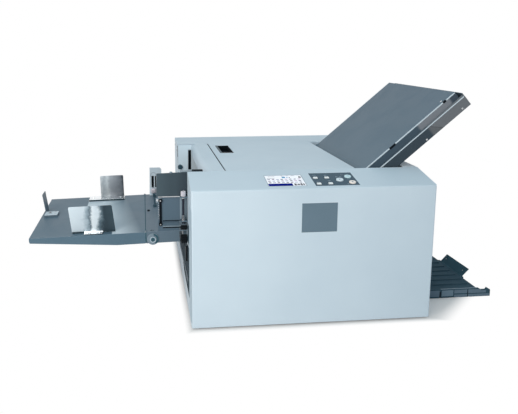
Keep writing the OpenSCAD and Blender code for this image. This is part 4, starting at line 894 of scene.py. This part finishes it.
for i, (x, y) in enumerate(keyLook["squares"]):
    newPiece(f"squareKey{i + 1}", keypadFrame, f"square_key_{i + 1}", "keyWhite", squareCap(x, y),
             (f"key_square_{i + 1}",), 0.0001)
newPiece("startKey", keypadFrame, "start_key", "keyPale", roundCap(*keyLook["start"]),
         ("key_start",), 0.0001)
newPiece("blueKey", keypadFrame, "blue_key", "keyCyan", roundCap(*keyLook["blue"]),
         ("key_blue",), 0.0001)
newPiece("creamKey", keypadFrame, "cream_key", "keyCream", roundCap(*keyLook["cream"]),
         ("key_cream",), 0.0001)


def keypadInk(*outlines, low=0.0):
    return inkMarks(outlines, low, keyLook["print"])


menuBars = [boxOutline(5.5, 13.5, 53.0 + 1.7 * i, 53.8 + 1.7 * i, 0.3) for i in range(3)]
upArrow, downArrow = [(29.5, 53.0), (37.5, 53.0), (33.5, 57.4)], [(29.5, 26.4), (33.5, 22.0), (37.5, 26.4)]
minusBar = boxOutline(6, 13, 23.2, 24.4, 0.3)
stopMark, startMark = boxOutline(66.4, 69.8, 5.0, 8.4, 0.3), [(52.6, 41.4), (52.6, 47.8), (58.0, 44.6)]
turnMark = band(69.5, 55.5, 2.9, 0.7, 20, 310)
pauseBars = [boxOutline(x, x + 1.2, 41.4, 47.8, 0.2) for x in (60.8, 63.2)]
keyLines = [boxOutline(x, x + 9.0, y, y + 0.9, 0.2) for x, y in ((74.5, 56.3), (71.5, 27.0))]
newPiece("keyLegends", keypadFrame, "machine", "inkSlate",
         keypadInk(*menuBars, upArrow, downArrow, minusBar, startMark, stopMark, turnMark, *pauseBars, *keyLines))
newPiece("startKeyMark", keypadFrame, "start_key", "inkSlate",
         keypadInk([(54.6, 25.0), (59.8, 28.0), (54.6, 31.0)], low=keyLook["markLow"]))
newPiece("blueKeyMark", keypadFrame, "blue_key", "inkSlate",
         keypadInk(band(78, 43, 2.4, 0.6, -60, 240), boxOutline(77.7, 78.3, 43.4, 46.2, 0.1),
                   low=keyLook["markLow"]))
newPiece("creamKeyMark", keypadFrame, "cream_key", "inkSlate",
         keypadInk(boxOutline(77.2, 80.8, 11.2, 14.8, 0.4), low=keyLook["markLow"]))
print("control panel ready")

# ---- first fold plate

plateLook = {"near": 104.3, "far": 479.7, "lid": 2.0, "tray": -19.0,
             "edgeSpans": ((1, 78.4), (95.6, 229.0), (238.5, 261.5))}


# Light strips painted as highlights along the lid's and the tray's edges
def plateEdgeHighlights(bm):
    near, far = plateLook["near"] + plateLook["lid"], plateLook["far"] - plateLook["lid"]
    for start, end in plateLook["edgeSpans"]:
        prism(bm, boxOutline(start, end, near - 0.16, near + 2.0), -1.9, 0.06)
    prism(bm, boxOutline(1, 261.5, far - 1.1, far + 0.16), -1.3, 0.05)
    for y in (plateLook["near"] - 0.7, plateLook["far"] - 1.9):
        prism(bm, boxOutline(1, 272, y, y + 2.6), plateLook["tray"] - 1.9, plateLook["tray"] + 0.3)


# Dark strip of painted shade where the plate enters the top
plateFootShadeOutline = [(0.6, 104.6), (13, 104.6), (5.5, 479), (0.6, 479)]
newPiece("plateFootShade", plateFrame, "machine", "tableCoat",
         lambda bm: prism(bm, plateFootShadeOutline, 0.16, 0.46))
newPiece("plateEdgeHighlightStrips", plateFrame, "fold_plate_1", "edgeLine", plateEdgeHighlights)
newPiece("plateSlot", plateFrame, "fold_plate_1", "deepBlack",
         boxes(((79, 106.1, -4.2), (95, 108.6, 0.08)), ((229.6, 106.0, -3.4), (237.4, 110.4, 0.5))), edge=0.0003)
plateScrews = [(254.4, -38.6), (153.2, -39.8)]


def plateFasteners(bm):
    for s, depth in plateScrews:
        panScrew(bm, facing((s, plateLook["near"], depth), "front"), 2.3, 1.1)
        panScrew(bm, facing((s, plateLook["far"], depth), "back"), 2.3, 1.1)
    panScrew(bm, facing((231.5, 118.5, 0)), 2.2, 0.8)
    for y in (150, 292, 434):
        panScrew(bm, facing((275, y, -32), "right"), 2.4, 1.1)
        panScrew(bm, facing((200, y, -44), "down"), 2.6, 1.2)


newPiece("plateScrews", plateFrame, "fold_plate_1", "zincScrew", plateFasteners)


# Scale under the tray, with a longer mark at every fifth step
scaleLook = {"plate": (60, 250, 300, 312, 1.0, -44.5, -44.05), "marks": 37, "first": 65, "pitch": 5,
             "long": 6.5, "short": 3.5}


def scaleMarks(bm):
    for i in range(scaleLook["marks"]):
        reach = scaleLook["short"] if i % 5 else scaleLook["long"]
        x = scaleLook["first"] + scaleLook["pitch"] * i
        prism(bm, boxOutline(x - 0.2, x + 0.2, 301, 301 + reach), -44.62, -44.5)


newPiece("plateScale", plateFrame, "fold_plate_1", "zincScrew",
         lambda bm: plates(bm, {"scale": scaleLook["plate"]}), edge=0.0002)
newPiece("plateScaleMarks", plateFrame, "fold_plate_1", "deepBlack", scaleMarks)
newPiece("plateCornerBuffer", plateFrame, "fold_plate_1", "matRubber",
         boxes(((-7.5, 470.5, -7.4), (-2.5, 477.2, -2.6))), edge=0.0008)
print("fold plate ready")

# ---- feed head

headLook = {"rod": (-9, 98), "knobLow": 254.5, "rivets": (-60.4, 106.4, 206), "rivetPitch": 4}


def gapKnob(bm):
    local = facing((*headLook["rod"], headLook["knobLow"]))
    knurl = fluteShape(20, 0.09)
    ringLoft(bm, [(0, 0), (4.6, 0), (5.4, 0.8, knurl), (5.4, 10.7, knurl), (4.7, 11.6), (3.4, 11.7), (3.0, 11.2),
                  (0, 11.1)], local, 120)


def gapRodBody(bm):
    local = facing((*headLook["rod"], 0))
    ringLoft(bm, [(0, 196.0), (3.6, 196.0), (3.6, 198.9), (2.2, 198.9), (2.2, 254.6), (0, 254.6)], local, 28)


newPiece("gapRod", toRow, "gap_screw", "brownRod", gapRodBody, ("gap_rod",), 0.0002)
newPiece("gapKnob", toRow, "gap_screw", "pinkSilver", gapKnob)


def headMetal(bm):
    x, y = headLook["rod"]
    ringPlate(bm, 2.4, 4.6, 250.7, 251.9, facing((x, y, 0)))
    ringPlate(bm, 2.4, 4.2, 202.1, 203.2, facing((x, y, 0)))
    tube(bm, coil(3.3, 203.4, 214.0, 6), 0.45, 8, facing((x, y, 0)))
    panScrew(bm, facing((-62.6, 105.9, 245.2), "front"), 2.5, 1.4)
    panScrew(bm, facing((-56.7, 103.0, 244.5), "front"), 1.5, 0.8)
    panScrew(bm, facing((-56.7, 113.6, 190.4), "front"), 1.3, 0.8)
    rivetX, rivetY, lowest = headLook["rivets"]
    for i in range(9):
        ringLoft(bm, [(0, -0.1), (0.75, -0.1), (0.6, 0.5), (0, 0.7)],
                 facing((rivetX, rivetY, lowest + headLook["rivetPitch"] * i), "front"), 12)
    plates(bm, {"ledgeStrip": (-61.5, -14.5, 103.65, 104.0, 0, 252.15, 253.9)})


newPiece("headMetal", toRow, "machine", "zincScrew", headMetal)


# Dark parts in and round the feed head. The mark and the plug lie on the table's base.
darkParts = {
    "rack": (-59.0, -54.0, 105.7, 106.5, 0, 197.6, 240.5),
    "rackFoot": (-59.0, -54.0, 116.3, 117.0, 0, 187, 199.8),
    "faceLine": (-52, -6, 107.4, 107.95, 0, 199.6, 201.0),
    "footLine": (-52, -2, 116.3, 117.0, 0, 181.4, 183.9),
    # Black strip standing for the shaded face of the shield's bracket: painted shade
    "shieldShadeStrip": (10.6, 33.0, 104.6, 117.6, 1.0, 306.2, 307.7),
    "bracketSlots": (-71.8, -56.8, 466.05, 466.7, 0.2, 191.0, 226.5),
    "armSlot": (27.5, 38.5, 484.1, 485.0, 0.3, 234.0, 292.0),
    "housingSeam": (0.05, 0.9, 479.4, 480.0, 0, 272.0, 302.0),
    "leftDash": (-79.4, -76.5, 125.8, 127.3, 0.3, 173.7656, 174.1656),
    "rightDash": (-74.0, -71.1, 125.8, 127.3, 0.3, 173.906, 174.306),
    "mark": (-76.4, -74.9, 127.3, 131.5, 0.2, 173.8, 174.25),
    "plug": (-83.6, -77.6, 289, 306, 2.6, 173.6, 174.1),
    "coverGasket": (79.3, 81.0, 106, 478, 0, 305.4, 306.08),
}


def headDark(bm):
    plates(bm, darkParts)
    ringLoft(bm, [(0, 0), (4.1, 0), (4.1, 2.8), (3.5, 3.5), (0, 3.5)], facing((-56.7, 106.5, 244.5), "front"), 32)
    ringLoft(bm, [(0, 0), (3.6, 0), (3.6, 2.8), (3.0, 3.4), (0, 3.4)], facing((-56.7, 117.0, 190.4), "front"), 32)


# Dark joint between the feed table and its base
newPiece("hingeSeam", tableFrame, "machine", "flapCoat",
         boxes(((-89.8, 117.2, -3.0), (-87.7, 467.8, 0.14)), ((-89.8, 116.5, -23.5), (-87.7, 117.2, 0.14))))
newPiece("headDark", toRow, "machine", "deepBlack", headDark, edge=0.00015)


shieldParts = {"top": (-15, 33.4, 104.4, 118.2, 0.8, 305.05, 306.2),
               "front": (17.0, 33.4, 104.05, 105.2, 0, 286, 305.1)}


def shieldBracket(bm):
    plates(bm, shieldParts)
    ringLoft(bm, [(0, 0), (3.2, 0), (3.2, 1.9), (2.6, 2.5), (0, 2.6)], facing((-33.8, 105, 303.6)), 24)


newPiece("shieldBracket", toRow, "machine", "edgeSlate", shieldBracket, edge=0.0003)


# Bright strips beside the rod, and the rack's screw tab
headStrips = {
    "leftOfRod": (-15.6, -11.6, 107.5, 108.0, 0.1, 203, 250),
    "rightOfRod": (-6.2, -0.6, 107.5, 108.0, 0.1, 203, 250),
    "screwTab": (-66.4, -55, 105.9, 106.5, 0.1, 240.6, 250.2),
    "footStrip": (-52, -6, 116.4, 117.0, 0.1, 184.0, 186.2),
}
newPiece("headStrips", toRow, "machine", "edgeSlate", lambda bm: plates(bm, headStrips), edge=0.00015)

# Rail under the far bracket, between its two holders
railHolders = {"near": (-69, -60, 328, 335, 1.0, 174.3, 179.4), "far": (-68, -61, 433, 447, 1.0, 174.3, 181.5)}


def baseRail(bm):
    tube(bm, [(-64.5, 334 + 11 * i, 176.3 + 0.5 * math.sin(i)) for i in range(10)], 2.0, 12)
    plates(bm, railHolders)


newPiece("baseRail", toRow, "machine", "tealCoat", baseRail, edge=0.0003)


# Raised bead over the far bracket's slots, and a screw head at its foot
def bracketBead(bm):
    arc = [(-72.6, 222), (-72.4, 228), (-70.8, 232), (-67.5, 233.8), (-63.0, 233.8), (-60.2, 231.5), (-58.2, 227.0),
           (-57.0, 222.0)]
    tube(bm, [(x, 463.8, z) for x, z in arc], 0.55, 8)
    ringLoft(bm, [(0, 0), (2.1, 0), (2.1, 1.1), (1.5, 1.7), (0, 1.8)], facing((-64.6, 464, 191.2), "front"), 20)


newPiece("bracketBead", toRow, "machine", "edgeGrey", bracketBead)


def clampKnobForm(bm):
    local = facing((-65, 463.7, 184.6), "front")
    knurl = fluteShape(22, 0.07)
    ringLoft(bm, [(0, -2.7), (4.0, -2.7), (4.0, 0), (7.2, 0), (7.9, 0.8, knurl), (7.9, 6.6, knurl), (7.1, 7.4),
                  (5.0, 7.5), (4.6, 8.9), (2.2, 9.0), (2.0, 8.2, hexShape), (0, 8.1)], local, 132)


newPiece("clampKnob", toRow, "clamp_screw", "pinkSilver", clampKnobForm, ("clamp_knob",))


# Y, Z, radius and height of the two feed knobs, which face left
dials = {"skew": (115, 157, 9.5, 14), "pressure": (115, 182.3, 5, 14)}


def dialPlace(y, z):
    return facing((-0.3, y, z), "left")


def dialKnob(y, z, radius, height, flutes, bore=3.4):
    def build(bm):
        flute = fluteShape(flutes, 0.085)
        ringLoft(bm, [(0, -bore), (1.9, -bore), (1.9, 0), (radius - 0.9, 0), (radius - 0.1, 0.8, flute),
                      (radius - 0.1, height - 1.4, flute), (radius - 1.2, height - 0.3), (0.62 * radius, height),
                      (0.5 * radius, height - 0.9), (0, height - 1.0)], dialPlace(y, z), 108)
    return build


newPiece("skewKnob", toRow, "skew_dial", "blackAbs", dialKnob(*dials["skew"], 18),
         ("skew_knob",))
newPiece("pressureKnob", toRow, "pressure_dial", "blackAbs", dialKnob(*dials["pressure"], 12),
         ("pressure_knob",))


def pointerMark(y, z, radius, height):
    def build(bm):
        prism(bm, boxOutline(-0.5, 0.5, 0.66 * radius, 0.9 * radius, 0.15), height - 0.28, height + 0.02,
              dialPlace(y, z))
        ringLoft(bm, [(0, height - 1.1), (1.3, height - 1.1), (1.1, height - 0.6), (0, height - 0.5)],
                 dialPlace(y, z), 18)
    return build


newPiece("skewPointer", toRow, "skew_dial", "inkWhite", pointerMark(*dials["skew"]))
newPiece("pressurePointer", toRow, "pressure_dial", "inkWhite", pointerMark(*dials["pressure"]))

lockPlace = facing((-74, 116.7, -16), "front")


def lockKnobForm(bm):
    ringLoft(bm, [(0, -4.3), (3.95, -4.3), (3.95, 0), (11.9, 0), (12.5, 0.4), (12.5, 1.1), (12.1, 1.5), (7.0, 1.5),
                  (7.0, 4.4), (6.5, 5.0), (4.6, 5.0), (4.2, 4.6), (4.1, 3.0), (0, 3.0)], lockPlace, 64)


newPiece("lockKnob", tableFrame, "table_lock", "edgeSlate", lockKnobForm, ("lock_knob",))
newPiece("lockKnobCore", tableFrame, "table_lock", "flapCoat",
         lambda bm: ringLoft(bm, [(0, 3.0), (4.0, 3.0), (4.0, 3.9), (2.0, 4.1), (1.9, 3.5, hexShape),
                                  (0, 3.4)], lockPlace, 36))
# Dark arc of painted shade on the knob's skirt
newPiece("lockKnobShadeArc", tableFrame, "table_lock", "flapCoat",
         lambda bm: prism(bm, band(0, 0, 12.0, 3.4, -62, 80), 1.5, 1.8, lockPlace))
newPiece("lockKnobRing", tableFrame, "table_lock", "greyAbs",
         lambda bm: ringPlate(bm, 4.7, 6.7, 5.0, 5.15, lockPlace, 48))

# ---- throat


def throatBush(bm):
    ringLoft(bm, [(0, 0), (6.6, 0), (6.6, 1.2), (5.3, 1.8), (5.3, 6.8), (4.7, 7.4), (3.0, 7.4), (2.7, 6.9),
                  (0, 6.8)], facing((7.0, 480, 244.3), "front"), 40)


newPiece("throatBush", toRow, "machine", "tealCoat", throatBush)


# Dark sheets of painted shade below and in front of the throat, and a paler sheet of painted shade on the housing's
# left return
throatShadeSheet = [(262, 53.4), (220, 43), (64, 43), (64, 151), (103.5, 151), (103.5, 54.5), (262, 54.5)]


def endShadeSheets(bm):
    for outline in (throatShadeSheet, boxOutline(64, 103.5, 157, 198)):
        prism(bm, outline, -0.35, -0.05, sideOn)


newPiece("throatShadeSheet", toRow, "machine", "caseShadeCoat", endShadeSheets)
newPiece("housingReturnShade", toRow, "machine", "returnShadeCoat",
         boxes(((-0.2, 1.6, 14), (-0.02, 63.0, 248))))

# Pale sheet of painted light on the wall of the paper throat, beside and above the arm's slot
newPiece("throatLitPanel", toRow, "machine", "paintedLightCoat",
         boxes(((2.4, 479.8, 206), (27.6, 480.0, 303.2)), ((27.6, 479.8, 293.5), (37.4, 480.0, 303.2))))


def throatBoss(bm):
    for x, z in ((20, 199), (14, 120)):
        ringPlate(bm, 6.3, 9.0, 0, 2.2, facing((x, 480, z), "front"), 40)


newPiece("throatFasteners", toRow, "machine", "zincScrew", throatBoss)

# ---- feed table


# Dark strips of painted shade under the near guide's lower edge, and its foot plate and screws
nearGuideLook = {
    "shadeStrips": {"left": (-244.4, -219.4, 136.2, 139.3, 0.3, 0.32, 3.6),
              "right": (-178.6, -153.4, 136.2, 139.3, 0.3, 0.32, 3.6)},
    "foot": {"sole": (-218.8, -179.2, 120.2, 137.1, 1.2, 1.8, 2.5),
             "rib": (-218.8, -179.2, 134.0, 137.0, 0.2, 2.5, 4.2)},
    "screws": (-212, -186),
}
newPiece("nearGuideShadeStrips", tableFrame, "guide_near", "darkShadeStrip",
         lambda bm: plates(bm, nearGuideLook["shadeStrips"]), edge=0.0003)


def guideFoot(bm):
    plates(bm, nearGuideLook["foot"])
    for x in nearGuideLook["screws"]:
        panScrew(bm, facing((x, 127.5, 2.5)), 2.2, 0.9)


newPiece("nearGuideFoot", tableFrame, "guide_near", "brightFoot", guideFoot, edge=0.0002)


def farFoot(bm):
    prism(bm, [(418.6, 4.2), (418.6, 5.1), (432.6, 2.6), (464.5, 2.6), (464.5, 1.8), (432, 1.8)], -231.8, -141.2,
          sideOn)
    for x in (-222, -152):
        panScrew(bm, facing((x, 448, 2.6)), 2.4, 1.0)


newPiece("farGuideFoot", tableFrame, "guide_far", "brightFoot", farFoot, edge=0.0002)
# Dark strip of painted shade under the far guide's foot
newPiece("farGuideShadeStrip", tableFrame, "guide_far", "darkShadeStrip",
         boxes(((-231.8, 419.0, 0.32), (-141.2, 423.5, 4.2))), edge=0.0003)


# Foot plate of the tail stop, and the screws on it
tailLook = {"foot": (-325.0, -295.0, 287.6, 321.4, 1.0, 4.02, 4.7), "top": 4.7, "clamp": (-313.5, 306.5),
            "screws": ((-301, 296), (-301, 316))}
newPiece("tailStopFoot", tableFrame, "stop_tail", "edgeLine",
         lambda bm: plates(bm, {"foot": tailLook["foot"]}), edge=0.0002)


def tailMetal(bm):
    socketScrew(bm, facing((*tailLook["clamp"], tailLook["top"])), 2.6, 2.4)
    for x, y in tailLook["screws"]:
        panScrew(bm, facing((x, y, tailLook["top"])), 1.7, 0.8)


newPiece("tailStopScrews", tableFrame, "stop_tail", "groundSteel", tailMetal)
print("feed side ready")

# ---- stacker

wallPlates = [((501.6, 99.5, 4.0), (570.6, 100.0, 18.6)), ((605.6, 99.5, 10.2), (636.8, 100.0, 18.6)),
              ((605.6, 99.5, 1.2), (636.8, 100.0, 7.6)), ((639.0, 99.5, 9.4), (670.0, 100.0, 18.6)),
              ((639.0, 99.5, 1.2), (690.5, 100.0, 7.4)), ((670.6, 99.5, 9.4), (682.0, 100.0, 15.4))]
newPiece("stackerWallPlates", toRow, "stacker", "wallSlate", boxes(*wallPlates), edge=0.0002)
newPiece("stackerTile", toRow, "stacker", "tileSlate",
         boxes(((576.0, 99.3, 4.6), (603.2, 100.0, 18.4))), edge=0.0003)
newPiece("stackerTopLine", toRow, "stacker", "tileSlate",
         boxes(((574.0, 100.05, 21.0), (660.0, 103.9, 21.16))))
newPiece("stackerSlotLine", toRow, "stacker", "deepBlack",
         boxes(((571.4, 99.9, 1.4), (573.6, 101.4, 15.0)), ((637.2, 99.8, 1.4), (638.4, 100.0, 18.6))))

# The flap from its hinge: its screws on the upper face, and the plugs behind them
flapFrame = tiltedFrame((663, 0, 18), "Y", -47)
flapLook = {"rows": (192, 276), "screws": 14.4, "plugs": 18}


def flapScrews(bm):
    for y in flapLook["rows"]:
        panScrew(bm, facing((flapLook["screws"], y, 0.75)), 1.2, 0.8)


newPiece("flapScrews", flapFrame, "flap", "zincScrew", flapScrews)
newPiece("flapPlugs", flapFrame, "flap", "deepBlack",
         lambda bm: [prism(bm, disc(flapLook["plugs"], y, 2.3), -1.0, -0.78) for y in flapLook["rows"]])


def stackerPads(bm):
    for x in (521, 639):
        for y in (116, 468):
            ringLoft(bm, [(0, 0.02), (7.0, 0.02), (7.8, 0.7), (7.8, 3.0), (0, 3.0)], facing((x, y, 0)), 32)


newPiece("stackerPads", toRow, "stacker", "matRubber", stackerPads)

# ---- fasteners and marks on the housings


# Screws on the sides: side, X of its face, screw radius and height, and the places as (Y, Z)
frontPlaces = ((30, 30), (30, 262), (82, 30), (82, 282))
rearPlaces = ((498, 34), (592, 34), (498, 288), (592, 288), (592, 160), (498, 160))
coverPlaces = [(y, z) for y in (130, 292, 454) for z in (84, 292)]
sideScrews = (("right", 500, 2.8, 1.3, frontPlaces), ("left", 0, 2.8, 1.3, rearPlaces),
              ("right", 500, 2.8, 1.3, rearPlaces), ("right", 500, 2.6, 1.2, coverPlaces))


def housingScrews(bm):
    for side, x, radius, height, places in sideScrews:
        for y, z in places:
            panScrew(bm, facing((x, y, z), side), radius, height)


newPiece("housingScrews", toRow, "machine", "zincScrew", housingScrews)


# Cover screws, sunk in the dimples of the back panel
def backScrews(bm):
    for x, z in dimples:
        panScrew(bm, facing((x, dimpleLook["back"] - 1.0, z), "back"), 2.9, 1.2)


newPiece("backScrews", toRow, "machine", "zincScrew", backScrews)
newPiece("inletPins", toRow, "machine", "brassPin",
         boxes(*[((60 + x - 1.1, 590.4, 40 + z - 2.1), (60 + x + 1.1, 602.7, 40 + z + 2.1))
                 for x, z in ((8, 33), (14, 38), (20, 33))]), edge=0.0003)


def rockerMarks(bm):
    prism(bm, [(604.9, 46.4), (606.27, 46.4), (605.48, 49.8), (604.9, 49.8)], 73.6, 74.4, sideOn)
    ringPlate(bm, 1.1, 1.8, 0, 0.12, facing((74, 605.1, 54.4), "back"), 24)


# Louvre blades behind the air slots
def ventBlades(bm):
    for i in range(10):
        low = 59.4 + 12 * i
        blade = [(604.9, low + 1.2), (604.9, low + 0.4), (600.6, low + 3.6), (600.6, low + 4.4)]
        for x in (120, 300):
            prism(bm, blade, x - 2, x + 92, sideOn)


newPiece("rockerMarks", toRow, "mains_switch", "inkWhite", rockerMarks)
newPiece("ventBlades", toRow, "machine", "edgeGrey", ventBlades)
print("fasteners ready")
